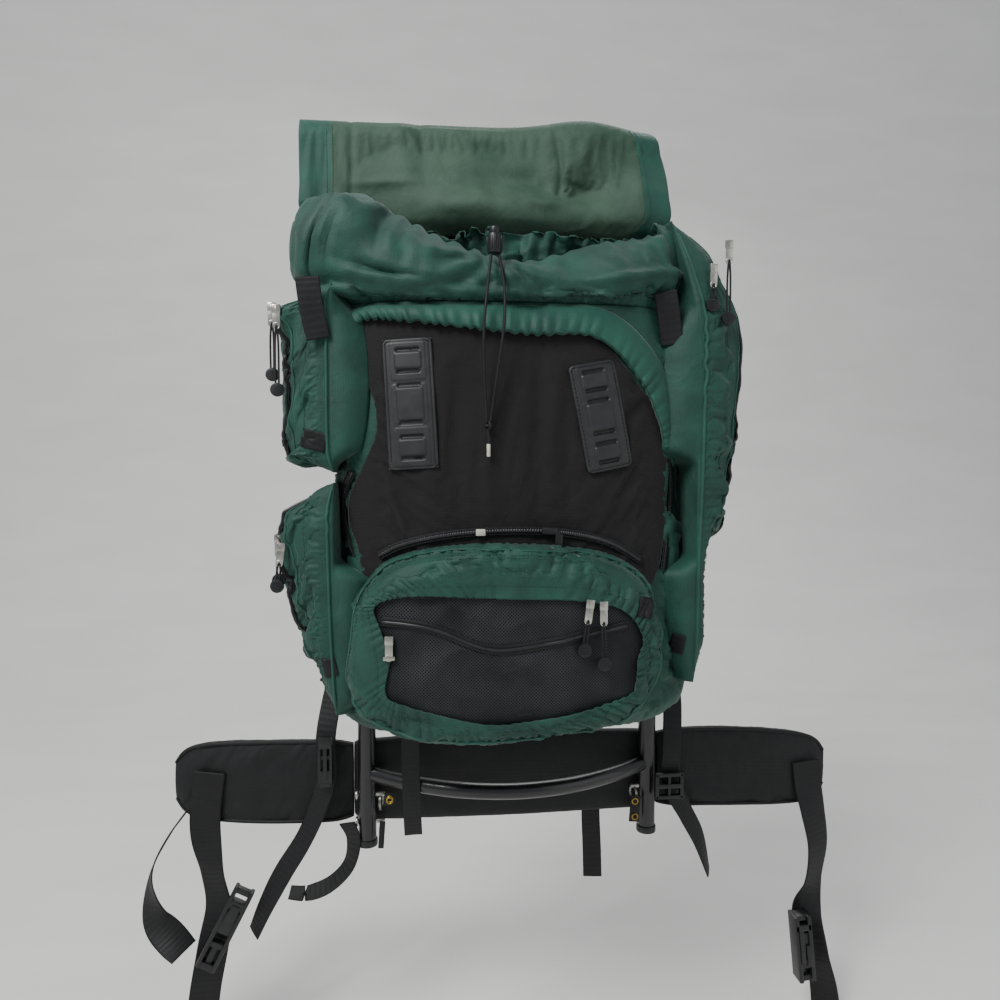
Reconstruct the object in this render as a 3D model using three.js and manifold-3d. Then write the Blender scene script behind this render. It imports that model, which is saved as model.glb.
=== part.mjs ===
// External frame backpack: a black tube frame, a green drawstring bag with a black front door,
// side pockets, a lower mesh pocket, a thrown-back lid, and a padded belt and shoulder straps.
// Millimetres, Z up. X runs to the right and -Y towards the viewer of the bag's front.
// Heights are measured from the frame's feet; the last group moves the origin to the lumbar pad.
import * as THREE from 'three';
import { LoftGeometry } from 'three/addons/geometries/LoftGeometry.js';
import { mergeVertices } from 'three/addons/utils/BufferGeometryUtils.js';
import Module from 'manifold-3d';

const wasm = await Module();
wasm.setup();

// Clearances and cloth
const clearance = 0.3;
const clothWall = 2;
const webbingWall = 1.8;

// Frame
const frameHeight = 862;
const tubeSpacing = 356;
const tubeDiameter = 22;
const tubeWall = 2;
const topCornerRadius = 62;
const barDiameter = 19;
const lowerBarHeight = 90;
const lowerBarBow = 70;
const middleBarHeight = 400;
const upperBarHeight = 640;
const innerBarBow = 26;
const plugDiameter = 25;
const plugHeight = 9;
const plugSpigot = 14;
const pinDiameter = 6;
const pinHeadDiameter = 12;
const pinHeadHeight = 3;
const pinReach = 9;
const ringDiameter = 20;
const ringWire = 1.6;

// Bag
const bagWidth = 402;
const bagBottom = 184;
const bagHeight = 459;
const bagDepth = 144;
const backCornerDepth = 34;
const backHollow = 28;
const frontSkew = 12;
const bottomSag = 5;
const doorWall = 2;
const zipWidth = 9;
const zipWall = 3;

// Lash patches
const patchWidth = 52;
const patchHeight = 136;
const patchCorner = 7;
const patchWall = 2.6;
const patchPanelRise = 1.6;
const patchSlotWidth = 24;
const patchSlotHeight = 3.2;
const patchPanelHeight = 26;

// Collar, lid and flap
const collarHeight = 130;
const collarBulge = 54;
const gatherCount = 10;
const gatherDepth = 4.5;
const lidWidth = 436;
const lidMiddle = -31;
const hemRoll = 8;

// Pockets
const lowerPocketDepth = 40;
const sidePocketDepth = 68;
const sidePocketHalf = 52;

// Belt and straps
const padWidth = 392;
const padHeight = 108;
const padThickness = 22;
const padMiddle = 75;
const wingThickness = 18;
const wingHeight = 105;
const wingLeftLength = 221;
const wingRightLength = 240;
const wingSweep = 14;
const beltWebbing = 38;
const strapWebbing = 25;
const shoulderWidth = 64;
const shoulderThickness = 13;

// Cords and small parts
const cordDiameter = 3;
const lockDiameter = 17;
const lockHeight = 22;
const knotDiameter = 8;
const tipLength = 13;
const pullTab = 22;
const pullButton = 15;

// How finely round pieces are faceted
const tubeSides = 10;
const barSides = 8;
const strapCorners = 8;

// Places worked out from the sizes above
const halfSpacing = tubeSpacing / 2;
const tubeRadius = tubeDiameter / 2;
const padFace = tubeRadius + clearance + padThickness;
const padMidY = padFace - padThickness / 2;
const bagBack = -(tubeRadius + clearance);
const bagTop = bagBottom + bagHeight;
const sidePocketMiddle = -0.639 * bagDepth;
const doorLift = clearance + doorWall;
const overDoor = doorLift + clearance;

const green = 0x2f6b58;
const coated = 0x4e6e60;
const black = 0x1b1c1e;
const plastic = 0x141516;
const metal = 0x9a9a98;

// A table of named columns, a row for each section, fold or point.
function table(names, rows) {
  return rows.map((row) => Object.fromEntries(names.map((name, i) => [name, row[i]])));
}

// Reads one column of a table at a place between its rows, along a smooth curve.
function readTable(rows, column, place) {
  const last = rows.length - 1;
  const spot = THREE.MathUtils.clamp(place, rows[0].at, rows[last].at);
  let i = 0;
  while (i < last - 1 && spot > rows[i + 1].at) i += 1;
  const slope = (k) => {
    const before = rows[Math.max(k - 1, 0)];
    const after = rows[Math.min(k + 1, last)];
    return (after[column] - before[column]) / (after.at - before.at);
  };
  const span = rows[i + 1].at - rows[i].at;
  const t = (spot - rows[i].at) / span;
  const ease = t * t * (3 - 2 * t);
  const start = slope(i) * span * (t * t * t - 2 * t * t + t);
  const end = slope(i + 1) * span * (t * t * t - t * t);
  return rows[i][column] * (1 - ease) + rows[i + 1][column] * ease + start + end;
}

// The sum of soft dents or humps at a place on a surface.
function readFolds(folds, across, up) {
  let depth = 0;
  for (const fold of folds) {
    const a = (across - fold.across) / fold.wide;
    const b = (up - fold.up) / fold.tall;
    depth += fold.depth * Math.exp(-a * a - b * b);
  }
  return depth;
}

function point(x, y, z) {
  return new THREE.Vector3(x, y, z);
}

function signedPower(value, power) {
  return Math.sign(value) * Math.abs(value) ** power;
}

// Merges a geometry's shared points, drops its flat triangles and turns its faces outwards.
function closeUp(source) {
  const plain = new THREE.BufferGeometry();
  plain.setAttribute('position', source.attributes.position);
  plain.setIndex(source.index);
  const merged = mergeVertices(plain, 1e-3);
  const faces = merged.index.array;
  const corner = (i) => new THREE.Vector3().fromBufferAttribute(merged.attributes.position, i);
  const kept = [];
  let volume = 0;
  for (let i = 0; i < faces.length; i += 3) {
    const [a, b, c] = [faces[i], faces[i + 1], faces[i + 2]];
    if (a === b || b === c || c === a) continue;
    kept.push(a, b, c);
    volume += corner(a).dot(corner(b).cross(corner(c)));
  }
  merged.setIndex(volume < 0 ? kept.reverse() : kept);
  return merged;
}

function solidOf(geometry) {
  const closed = closeUp(geometry);
  return new wasm.Manifold(new wasm.Mesh({
    numProp: 3,
    vertProperties: new Float32Array(closed.attributes.position.array),
    triVerts: new Uint32Array(closed.index.array),
  }));
}

function geometryOf(solid) {
  const mesh = solid.getMesh();
  const geometry = new THREE.BufferGeometry();
  geometry.setAttribute('position', new THREE.BufferAttribute(new Float32Array(mesh.vertProperties), 3));
  geometry.setIndex(new THREE.BufferAttribute(new Uint32Array(mesh.triVerts), 1));
  return geometry;
}

// Cuts solids away from a piece and keeps its largest body, without the offcuts.
function cutBy(solid, cutters) {
  const left = cutters.reduce((rest, cutter) => rest.subtract(cutter), solid);
  const bodies = left.decompose();
  return bodies.reduce((best, body) => (body.volume() > best.volume() ? body : best));
}

function joined(solids) {
  return solids.reduce((whole, solid) => whole.add(solid));
}

// Moves a piece towards what carries it until only the clearance is left between them.
function seated(solid, carriers, toward) {
  const reach = 60;
  const carrier = joined(carriers);
  const way = point(...toward).normalize();
  let place = solid;
  let moved = 0;
  for (let tries = 0; tries < 80 && moved < reach; tries += 1) {
    const gap = place.minGap(carrier, reach) - clearance;
    if (gap < 0.01) return place;
    moved += gap;
    place = solid.translate([way.x * moved, way.y * moved, way.z * moved]);
  }
  return solid;
}

// The two faces of a wall that lies half to each side of a middle surface.
function wallFaces(at, wall, ring = false) {
  const step = 2e-3;
  const low = ring ? -1 : 0;
  const high = ring ? 2 : 1;
  const face = (u, v, offset) => {
    const alongU = at(Math.min(u + step, high), v).sub(at(Math.max(u - step, low), v));
    const alongV = at(u, Math.min(v + step, 1)).sub(at(u, Math.max(v - step, 0)));
    return at(u, v).addScaledVector(alongU.cross(alongV).normalize(), offset);
  };
  return [(u, v) => face(u, v, wall / 2), (u, v) => face(u, v, -wall / 2)];
}

// One lengthwise cut through a wall: up its first face and back down its second.
function wallLoop(first, second, u, rows) {
  const loop = [];
  for (let j = 0; j <= rows; j += 1) loop.push(first(u, j / rows));
  for (let j = rows; j >= 0; j -= 1) loop.push(second(u, j / rows));
  return loop;
}

// A cloth sheet with four edges.
function sheetSolid([first, second], columns, rows) {
  const sections = [];
  for (let i = 0; i <= columns; i += 1) sections.push(wallLoop(first, second, i / columns, rows));
  const folded = (loop) => loop.map((p, k) => p.clone().lerp(loop[loop.length - 1 - k], 0.5));
  sections.unshift(folded(sections[0]));
  sections.push(folded(sections[sections.length - 1]));
  return solidOf(new LoftGeometry(sections));
}

// A cloth wall that runs round and meets itself.
function ringSolid([first, second], columns, rows) {
  const sections = [];
  for (let i = 0; i <= columns; i += 1) {
    sections.push(wallLoop(first, second, (i % columns) / columns, rows));
  }
  return solidOf(new LoftGeometry(sections));
}

// A solid through sections, closed at both ends, with its sections wound to face outwards.
function loftSolid(sections) {
  const [first, second] = sections;
  const normal = point(0, 0, 0);
  const along = point(0, 0, 0);
  first.forEach((p, i) => {
    normal.add(p.clone().cross(first[(i + 1) % first.length]));
    along.add(second[i]).sub(p);
  });
  const wound = normal.dot(along) < 0 ? sections.map((section) => [...section].reverse()) : sections;
  return solidOf(new LoftGeometry(wound, { capStart: true, capEnd: true }));
}

// A flat shape drawn in the front view (x across, y up), extruded from one depth to another.
function frontPrism(shape, from, to) {
  const block = new THREE.ExtrudeGeometry(shape, { depth: from - to, bevelEnabled: false, curveSegments: 6 });
  block.rotateX(Math.PI / 2);
  block.translate(0, from, 0);
  return solidOf(block);
}

function boxSolid(width, depth, height, place, turn = [0, 0, 0]) {
  const box = new THREE.BoxGeometry(width, depth, height);
  box.applyMatrix4(new THREE.Matrix4().makeRotationFromEuler(new THREE.Euler(...turn)));
  box.translate(place.x, place.y, place.z);
  return solidOf(box);
}

function roundBar(radius, height, sides, place, turn = [Math.PI / 2, 0, 0]) {
  const bar = new THREE.CylinderGeometry(radius, radius, height, sides);
  bar.applyMatrix4(new THREE.Matrix4().makeRotationFromEuler(new THREE.Euler(...turn)));
  bar.translate(place.x, place.y, place.z);
  return solidOf(bar);
}

// A tube or rod along a curve; a bore above zero makes it hollow.
function tubeSolid(curve, radius, steps, { sides = tubeSides, bore = 0 } = {}) {
  const circle = (r) => {
    const ring = [];
    for (let i = 0; i < sides; i += 1) {
      const angle = (i / sides) * Math.PI * 2;
      ring.push(new THREE.Vector2(r * Math.cos(angle), r * Math.sin(angle)));
    }
    return ring;
  };
  const shape = new THREE.Shape(circle(radius));
  if (bore > 0) shape.holes.push(new THREE.Path(circle(bore)));
  return solidOf(new THREE.ExtrudeGeometry(shape, { steps, bevelEnabled: false, extrudePath: curve }));
}

function smoothCurve(rows) {
  return new THREE.CatmullRomCurve3(rows.map((row) => point(...row)));
}

// A strap along a hand-chosen route: rows of x, y, z and the turn of its width in degrees.
function strapSolid(route, width, wall, steps) {
  const curve = smoothCurve(route.map((row) => row.slice(0, 3)));
  const sections = [];
  for (let i = 0; i <= steps; i += 1) {
    const t = i / steps;
    const along = curve.getTangent(t);
    const place = t * (route.length - 1);
    const row = Math.min(Math.floor(place), route.length - 2);
    const turn = THREE.MathUtils.lerp(route[row][3], route[row + 1][3], place - row);
    const across = point(1, 0, 0).addScaledVector(along, -along.x).normalize();
    across.applyAxisAngle(along, THREE.MathUtils.degToRad(turn)).multiplyScalar(width / 2);
    const out = across.clone().normalize().cross(along).multiplyScalar(wall / 2);
    const middle = curve.getPoint(t);
    sections.push([
      middle.clone().add(across).add(out),
      middle.clone().sub(across).add(out),
      middle.clone().sub(across).sub(out),
      middle.clone().add(across).sub(out),
    ]);
  }
  return loftSolid(sections);
}

// Padded work: soft-cornered sections along a route, each with its own width and thickness.
function paddedSolid(stations, corners = 12) {
  const softness = 0.55;
  const full = Math.cos(Math.PI / corners) ** softness;
  const sections = stations.map(({ middle, across, out, width, thickness }) => {
    const section = [];
    for (let i = 0; i < corners; i += 1) {
      const angle = ((i + 0.5) / corners) * Math.PI * 2;
      section.push(middle.clone()
        .addScaledVector(across, (signedPower(Math.cos(angle), softness) * width) / 2 / full)
        .addScaledVector(out, (signedPower(Math.sin(angle), softness) * thickness) / 2 / full));
    }
    return section;
  });
  return loftSolid(sections);
}

// The bag's body: its section at each height, and its main dents.
const bagProfile = table(['at', 'width', 'depth'], [
  [0.00, 0.88, 0.84],
  [0.03, 0.96, 0.93],
  [0.10, 1.00, 0.98],
  [0.30, 1.00, 1.00],
  [0.52, 0.99, 1.00],
  [0.75, 1.00, 0.99],
  [0.90, 0.99, 0.96],
  [1.00, 0.97, 0.92],
]);

const bagFolds = table(['across', 'up', 'wide', 'tall', 'depth'], [
  [0.62, 0.78, 0.030, 0.14, -4],
  [0.71, 0.60, 0.020, 0.20, 5],
  [0.67, 0.34, 0.024, 0.10, -3],
  [0.30, 0.66, 0.022, 0.22, 4],
  [0.36, 0.88, 0.030, 0.08, -4],
  [0.35, 0.45, 0.020, 0.16, 3],
  [0.50, 0.80, 0.060, 0.10, 3],
  [0.77, 0.20, 0.022, 0.10, 4],
]);

// How square the bag's plan is behind and in front.
const backPower = 2 / 14;
const frontExponent = 3;

const bagColumns = 24;
const bagShares = [0, 0.04, 0.14, 0.34, 0.52, 0.68, 0.84, 1];
const outlineSteps = 240;
const outlines = new Map();

// A fine outline of the bag at one height share, with the length run from the back's middle.
function bagOutline(share) {
  if (outlines.has(share)) return outlines.get(share);
  const halfWidth = (bagWidth / 2) * readTable(bagProfile, 'width', share);
  const depth = bagDepth * readTable(bagProfile, 'depth', share);
  const middle = bagBack - backCornerDepth;
  const places = [];
  for (let i = 0; i <= outlineSteps; i += 1) {
    const angle = (i / outlineSteps) * Math.PI * 2;
    const back = Math.cos(angle) >= 0;
    const power = back ? backPower : 2 / frontExponent;
    const reach = back ? backCornerDepth : depth - backCornerDepth;
    const x = halfWidth * signedPower(Math.sin(angle), power);
    const y = middle + reach * signedPower(Math.cos(angle), power);
    const hollow = back ? backHollow * Math.max(0, 1 - (x / halfSpacing) ** 2) : 0;
    places.push(new THREE.Vector2(x - (frontSkew * (bagBack - y)) / bagDepth, y - hollow));
  }
  const runs = [0];
  for (let i = 1; i <= outlineSteps; i += 1) runs.push(runs[i - 1] + places[i].distanceTo(places[i - 1]));
  outlines.set(share, { places, runs });
  return outlines.get(share);
}

// A point on the bag's wall, a share of the way round from the back's middle by the right side.
function bagPoint(turn, share, lift) {
  const { places, runs } = bagOutline(share);
  const run = (turn - Math.floor(turn)) * runs[outlineSteps];
  let i = 0;
  while (runs[i + 1] < run) i += 1;
  const place = places[i].clone().lerp(places[i + 1], (run - runs[i]) / (runs[i + 1] - runs[i]));
  const along = places[i + 1].clone().sub(places[i]).normalize();
  const out = lift - readFolds(bagFolds, turn, share);
  return point(place.x - along.y * out, place.y + along.x * out, bagBottom + bagHeight * share);
}

// The lengthwise line of the bag's wall at one turn, from the middle of its bottom up to its rim.
function bagLine(turn, lift) {
  const middle = point(0, bagBack - bagDepth / 2, bagBottom - bottomSag - lift);
  const line = bagShares.map((share) => bagPoint(turn, share, lift));
  line[0].z -= lift;
  const shoulder = line[0].clone().lerp(middle, 0.4);
  return [middle, shoulder, ...line];
}

function bagSections(lineAt) {
  const sections = [];
  for (let i = 0; i <= bagColumns; i += 1) sections.push(lineAt((i % bagColumns) / bagColumns));
  return new LoftGeometry(sections, { closed: false });
}

// The bag as a filled body, swollen by a lift, for seating what lies on it.
function makeBagFill(lift) {
  return solidOf(bagSections((turn) => {
    const line = bagLine(turn, lift);
    return [...line, point(0, bagBack - bagDepth / 2, bagTop)];
  }));
}

const fills = new Map();
function bagFill(lift) {
  if (!fills.has(lift)) fills.set(lift, makeBagFill(lift));
  return fills.get(lift);
}

function mainBag() {
  return solidOf(bagSections((turn) => [...bagLine(turn, 0), ...bagLine(turn, -clothWall).reverse()]));
}

// The depth of the bag's smooth front at a place in the front view.
function frontY(x, z) {
  const share = THREE.MathUtils.clamp((z - bagBottom) / bagHeight, 0, 1);
  const halfWidth = (bagWidth / 2) * readTable(bagProfile, 'width', share);
  const reach = bagDepth * readTable(bagProfile, 'depth', share) - backCornerDepth;
  const side = Math.min(Math.abs((x + frontSkew * 0.9) / halfWidth), 0.995);
  return bagBack - backCornerDepth - reach * (1 - side ** frontExponent) ** (1 / frontExponent);
}

function onFront(x, z, lift) {
  return point(x, frontY(x, z) - lift, z);
}

function frontPlace(row) {
  return new THREE.Vector2(row.across * bagWidth, bagBottom + row.up * bagHeight);
}

// A layer of even thickness that follows the bag's front inside an outline.
function frontLayer(shape, from, to) {
  const skin = bagFill(to).subtract(bagFill(from));
  return frontPrism(shape, bagBack - backCornerDepth, -3 * bagDepth).intersect(skin);
}

function closedShape(rows, points, grow = 0) {
  const places = new THREE.SplineCurve([...rows, rows[0]].map(frontPlace)).getPoints(points);
  const middle = places.reduce((sum, p) => sum.add(p), new THREE.Vector2()).divideScalar(places.length);
  const grown = places.map((p) => p.clone().add(p.clone().sub(middle).normalize().multiplyScalar(grow)));
  grown.pop();
  return new THREE.Shape(grown);
}

// The black front door inside its zip.
const doorOutline = table(['across', 'up'], [
  [-0.060, 0.120],
  [-0.400, 0.135],
  [-0.428, 0.270],
  [-0.435, 0.414],
  [-0.465, 0.500],
  [-0.462, 0.560],
  [-0.425, 0.630],
  [-0.392, 0.700],
  [-0.395, 0.776],
  [-0.438, 0.870],
  [-0.468, 0.940],
  [-0.430, 0.975],
  [-0.346, 0.972],
  [-0.132, 0.952],
  [0.020, 0.942],
  [0.174, 0.926],
  [0.299, 0.830],
  [0.371, 0.728],
  [0.398, 0.627],
  [0.398, 0.540],
  [0.378, 0.410],
  [0.330, 0.300],
  [0.290, 0.135],
]);
const doorPoints = 23;

function frontDoor() {
  return frontLayer(closedShape(doorOutline, doorPoints), clearance, doorLift);
}

function doorSeat() {
  return frontLayer(closedShape(doorOutline, doorPoints, 2 * clearance), 0, overDoor);
}

// A zip's tape and coil along a hand-chosen line of places on the bag's front.
function zipStrip(rows, from, to) {
  const line = new THREE.SplineCurve(rows.map(frontPlace));
  const steps = 2 * rows.length;
  const sides = [[], []];
  for (let i = 0; i <= steps; i += 1) {
    const middle = line.getPoint(i / steps);
    const along = line.getTangent(i / steps);
    const out = new THREE.Vector2(-along.y, along.x).multiplyScalar(zipWidth / 2);
    sides[0].push(middle.clone().add(out));
    sides[1].unshift(middle.clone().sub(out));
  }
  return frontLayer(new THREE.Shape(sides.flat()), from, to);
}

const leftZipLine = table(['across', 'up'], [
  [-0.456, 0.420],
  [-0.468, 0.450],
  [-0.482, 0.500],
  [-0.482, 0.560],
  [-0.456, 0.615],
]);
const rightZipLine = table(['across', 'up'], [
  [0.389, 0.380],
  [0.400, 0.440],
  [0.416, 0.540],
  [0.415, 0.600],
  [0.409, 0.645],
]);
const pocketZipLine = table(['across', 'up'], [
  [-0.385, 0.424],
  [-0.320, 0.452],
  [-0.200, 0.474],
  [-0.050, 0.482],
  [0.100, 0.476],
  [0.220, 0.452],
  [0.310, 0.408],
]);

// The ribbed lash patches: plates with three cells, each a raised panel between two slots.
const patches = table(['name', 'across', 'up', 'tall', 'lean'], [
  ['lash_patch_left', -0.301, 0.769, 1.00, 3],
  ['lash_patch_right', 0.197, 0.743, 0.85, 11],
]);

function roundedShape(width, height, radius) {
  const [w, h] = [width / 2, height / 2];
  if (radius === 0) {
    const corners = [[-w, -h], [w, -h], [w, h], [-w, h]];
    return new THREE.Shape(corners.map((corner) => new THREE.Vector2(...corner)));
  }
  const shape = new THREE.Shape();
  shape.moveTo(-w + radius, -h);
  shape.lineTo(w - radius, -h);
  shape.quadraticCurveTo(w, -h, w, -h + radius);
  shape.lineTo(w, h - radius);
  shape.quadraticCurveTo(w, h, w - radius, h);
  shape.lineTo(-w + radius, h);
  shape.quadraticCurveTo(-w, h, -w, h - radius);
  shape.lineTo(-w, -h + radius);
  shape.quadraticCurveTo(-w, -h, -w + radius, -h);
  return shape;
}

function placedPoints(shape, patch, rise) {
  const lean = THREE.MathUtils.degToRad(patch.lean);
  const middle = frontPlace(patch);
  return shape.getPoints(2).map((p) => p.clone()
    .add(new THREE.Vector2(0, rise))
    .rotateAround(new THREE.Vector2(), lean)
    .add(middle));
}

function lashPatch(patch) {
  const height = patchHeight * patch.tall;
  const cells = [0.33, 0, -0.33].map((share) => share * height);
  const tall = [0.62, 1.25, 0.62].map((share) => share * patchPanelHeight * patch.tall);
  const plate = new THREE.Shape(placedPoints(roundedShape(patchWidth, height, patchCorner), patch, 0));
  cells.forEach((rise, i) => {
    for (const side of [-1, 1]) {
      const slot = roundedShape(patchSlotWidth, patchSlotHeight, 0);
      const offset = rise + side * (tall[i] / 2 + patchSlotHeight);
      plate.holes.push(new THREE.Path(placedPoints(slot, patch, offset)));
    }
  });
  const panels = cells.map((rise, i) => {
    const panel = roundedShape(patchSlotWidth + 3, tall[i], 0);
    const shape = new THREE.Shape(placedPoints(panel, patch, rise));
    return frontLayer(shape, overDoor, overDoor + patchWall + patchPanelRise);
  });
  return joined([frontLayer(plate, overDoor, overDoor + patchWall), ...panels]);
}

// The gathered rain flap: from its seam on the bag to a rolled elastic hem over the door's top.
const flapLine = table(['at', 'across', 'up', 'outerAcross', 'outerUp'], [
  [0.00, -0.382, 0.730, -0.452, 0.700],
  [0.08, -0.398, 0.790, -0.472, 0.800],
  [0.18, -0.438, 0.862, -0.488, 0.885],
  [0.26, -0.462, 0.925, -0.490, 0.965],
  [0.33, -0.420, 0.962, -0.440, 0.990],
  [0.42, -0.320, 0.958, -0.330, 0.992],
  [0.54, -0.132, 0.940, -0.130, 0.992],
  [0.64, 0.020, 0.928, 0.030, 0.992],
  [0.74, 0.185, 0.924, 0.220, 0.985],
  [0.84, 0.305, 0.832, 0.360, 0.885],
  [0.93, 0.366, 0.732, 0.424, 0.760],
  [1.00, 0.386, 0.672, 0.434, 0.680],
]);
const flapGathers = 10;
const flapGatherDepth = 1.6;

function rainFlap(seats) {
  const middle = (u, v) => {
    const read = (column) => readTable(flapLine, column, u);
    const across = THREE.MathUtils.lerp(read('outerAcross'), read('across'), v);
    const up = THREE.MathUtils.lerp(read('outerUp'), read('up'), v);
    const wave = Math.sin(u * flapGathers * Math.PI * 2) * flapGatherDepth * v;
    const roll = hemRoll * Math.sin(Math.PI * Math.min(v * 0.75, 0.75)) ** 0.8;
    const lift = overDoor + clothWall + roll + wave;
    return onFront(across * bagWidth, bagBottom + up * bagHeight, lift);
  };
  const inner = (u, v) => {
    const place = middle(u, v);
    return point(place.x, frontY(place.x, place.z) + 4, place.z);
  };
  return cutBy(sheetSolid([middle, inner], 22, 2), seats);
}

// The gathered collar above the bag's top seam, slumped over the left side and pulled to its cord.
const collarTable = table(['at', 'bulge', 'bulgeUp', 'inset', 'rim'], [
  [0.00, -0.10, 0.35, 0.42, 0.72],
  [0.12, -0.10, 0.35, 0.40, 0.72],
  [0.25, 0.08, 0.38, 0.30, 0.74],
  [0.34, 0.16, 0.34, 0.62, 0.74],
  [0.42, 0.28, 0.30, 0.60, 0.62],
  [0.50, 0.34, 0.28, 0.52, 0.47],
  [0.56, 0.32, 0.30, 0.58, 0.60],
  [0.64, 0.44, 0.38, 0.55, 0.84],
  [0.69, 0.84, 0.52, 0.10, 0.98],
  [0.75, 1.00, 0.54, -0.05, 0.98],
  [0.79, 0.60, 0.52, 0.15, 0.84],
  [0.84, -0.06, 0.42, 0.40, 0.74],
  [1.00, -0.10, 0.35, 0.42, 0.72],
]);

const collarFolds = table(['across', 'up', 'wide', 'tall', 'depth'], [
  [0.44, 0.62, 0.020, 0.30, 7],
  [0.54, 0.60, 0.016, 0.32, 8],
  [0.60, 0.45, 0.020, 0.30, -6],
  [0.67, 0.55, 0.022, 0.28, 9],
  [0.74, 0.70, 0.020, 0.25, 8],
  [0.38, 0.40, 0.024, 0.30, -5],
  [0.31, 0.60, 0.020, 0.30, 6],
  [0.82, 0.50, 0.020, 0.35, 6],
]);

function collarMiddle(u, v) {
  const turn = u - Math.floor(u);
  const read = (column) => readTable(collarTable, column, turn);
  const bulge = collarBulge * read('bulge');
  const rise = collarHeight * read('rim');
  const swell = collarHeight * read('bulgeUp');
  const inset = collarBulge * read('inset');
  const line = new THREE.CubicBezierCurve(
    new THREE.Vector2(-clothWall / 2, 0),
    new THREE.Vector2(bulge * 0.7, swell * 0.3),
    new THREE.Vector2(bulge * 1.7, swell * 1.6),
    new THREE.Vector2(-inset, rise),
  ).getPoint(v);
  const gather = gatherDepth * v * Math.sin(turn * gatherCount * Math.PI * 2);
  const fold = readFolds(collarFolds, turn, v) * Math.sin(Math.PI * Math.min(v * 1.2, 1) * 0.8);
  const out = line.x + gather - fold;
  const place = bagPoint(turn, 1, 0);
  const wide = bagPoint(turn, 1, 1).sub(place);
  return point(place.x + wide.x * out, place.y + wide.y * out, bagTop + clearance + line.y);
}

const collarColumns = 34;
const collarRows = 4;

function collar(seats) {
  const floor = boxSolid(2 * bagWidth, 4 * bagDepth, 40, point(0, 0, bagTop + clearance - 20));
  const wall = ringSolid(wallFaces(collarMiddle, clothWall, true), collarColumns, collarRows);
  return cutBy(wall, [floor, ...seats]);
}

// The collar as a filled body, swollen by the clearance, for seating what lies beside it.
function collarFill() {
  const outer = wallFaces(collarMiddle, clothWall + 2 * clearance, true)[1];
  const middleY = bagBack - bagDepth / 2;
  const sections = [];
  for (let i = 0; i <= collarColumns; i += 1) {
    const line = [point(0, middleY, bagTop + collarHeight / 2)];
    for (let j = collarRows; j >= 0; j -= 1) line.push(outer((i % collarColumns) / collarColumns, j / collarRows));
    line.push(point(0, middleY, bagTop));
    sections.push(line);
  }
  return solidOf(new LoftGeometry(sections, { closed: false }));
}

// The lid thrown back over the frame's top bar, its coated inside to the front.
const lidPath = table(['at', 'y', 'yRight', 'z', 'left', 'right'], [
  [0.00, -15, -34, 750, -0.47, 0.46],
  [0.08, -16, -56, 764, -0.50, 0.50],
  [0.20, -20, -52, 796, -0.50, 0.50],
  [0.34, -20, -32, 835, -0.50, 0.50],
  [0.44, -17, -19, 868, -0.50, 0.48],
  [0.52, 0, 0, 883, -0.50, 0.46],
  [0.60, 18, 18, 867, -0.49, 0.46],
  [0.74, 26, 26, 800, -0.48, 0.47],
  [1.00, 28, 28, 668, -0.47, 0.47],
]);

const lidFolds = table(['across', 'up', 'wide', 'tall', 'depth'], [
  [0.80, 0.42, 0.14, 0.10, 20],
  [0.76, 0.22, 0.10, 0.06, -18],
  [0.60, 0.26, 0.20, 0.05, -9],
  [0.30, 0.30, 0.20, 0.10, 6],
  [0.92, 0.22, 0.05, 0.14, 9],
  [0.10, 0.14, 0.05, 0.12, 7],
  [0.45, 0.14, 0.10, 0.06, 10],
]);

function lidMiddleSurface(u, v) {
  const read = (column) => readTable(lidPath, column, v);
  const x = lidMiddle + lidWidth * THREE.MathUtils.lerp(read('left'), read('right'), u);
  const ahead = Math.min(v + 0.01, 1);
  const behind = Math.max(v - 0.01, 0);
  const alongY = readTable(lidPath, 'y', ahead) - readTable(lidPath, 'y', behind);
  const alongZ = readTable(lidPath, 'z', ahead) - readTable(lidPath, 'z', behind);
  const length = Math.hypot(alongY, alongZ);
  const out = readFolds(lidFolds, u, v);
  const y = THREE.MathUtils.lerp(read('y'), read('yRight'), THREE.MathUtils.smoothstep(u, 0.05, 0.5));
  return point(x, y - (alongZ / length) * out, read('z') + (alongY / length) * out);
}

function lidFlap() {
  return sheetSolid(wallFaces(lidMiddleSurface, clothWall), 10, 10);
}

// The lower pocket: a cloth frame round its mesh window, standing out from the bag's front.
const pocketLine = table(['across', 'up', 'windowAcross', 'windowUp'], [
  [-0.050, 0.450, -0.060, 0.340],
  [0.178, 0.431, 0.120, 0.333],
  [0.296, 0.383, 0.235, 0.308],
  [0.341, 0.318, 0.290, 0.246],
  [0.348, 0.234, 0.278, 0.191],
  [0.332, 0.132, 0.262, 0.122],
  [0.250, 0.053, 0.169, 0.092],
  [0.130, 0.026, 0.046, 0.069],
  [-0.060, 0.014, -0.081, 0.059],
  [-0.190, 0.014, -0.204, 0.077],
  [-0.330, 0.034, -0.325, 0.107],
  [-0.430, 0.078, -0.365, 0.132],
  [-0.470, 0.140, -0.354, 0.210],
  [-0.458, 0.230, -0.375, 0.269],
  [-0.442, 0.318, -0.392, 0.320],
  [-0.412, 0.366, -0.340, 0.343],
  [-0.355, 0.414, -0.260, 0.348],
  [-0.240, 0.442, -0.160, 0.344],
]);

const pocketGathers = 9;
const pocketGatherDepth = 1.3;

const pocketWall = table(['at', 'inward', 'forward'], [
  [0.00, 0.00, -0.25],
  [0.18, 0.01, 0.30],
  [0.36, 0.06, 0.72],
  [0.54, 0.22, 0.94],
  [0.78, 0.62, 1.00],
  [1.00, 1.00, 1.00],
]);

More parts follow.
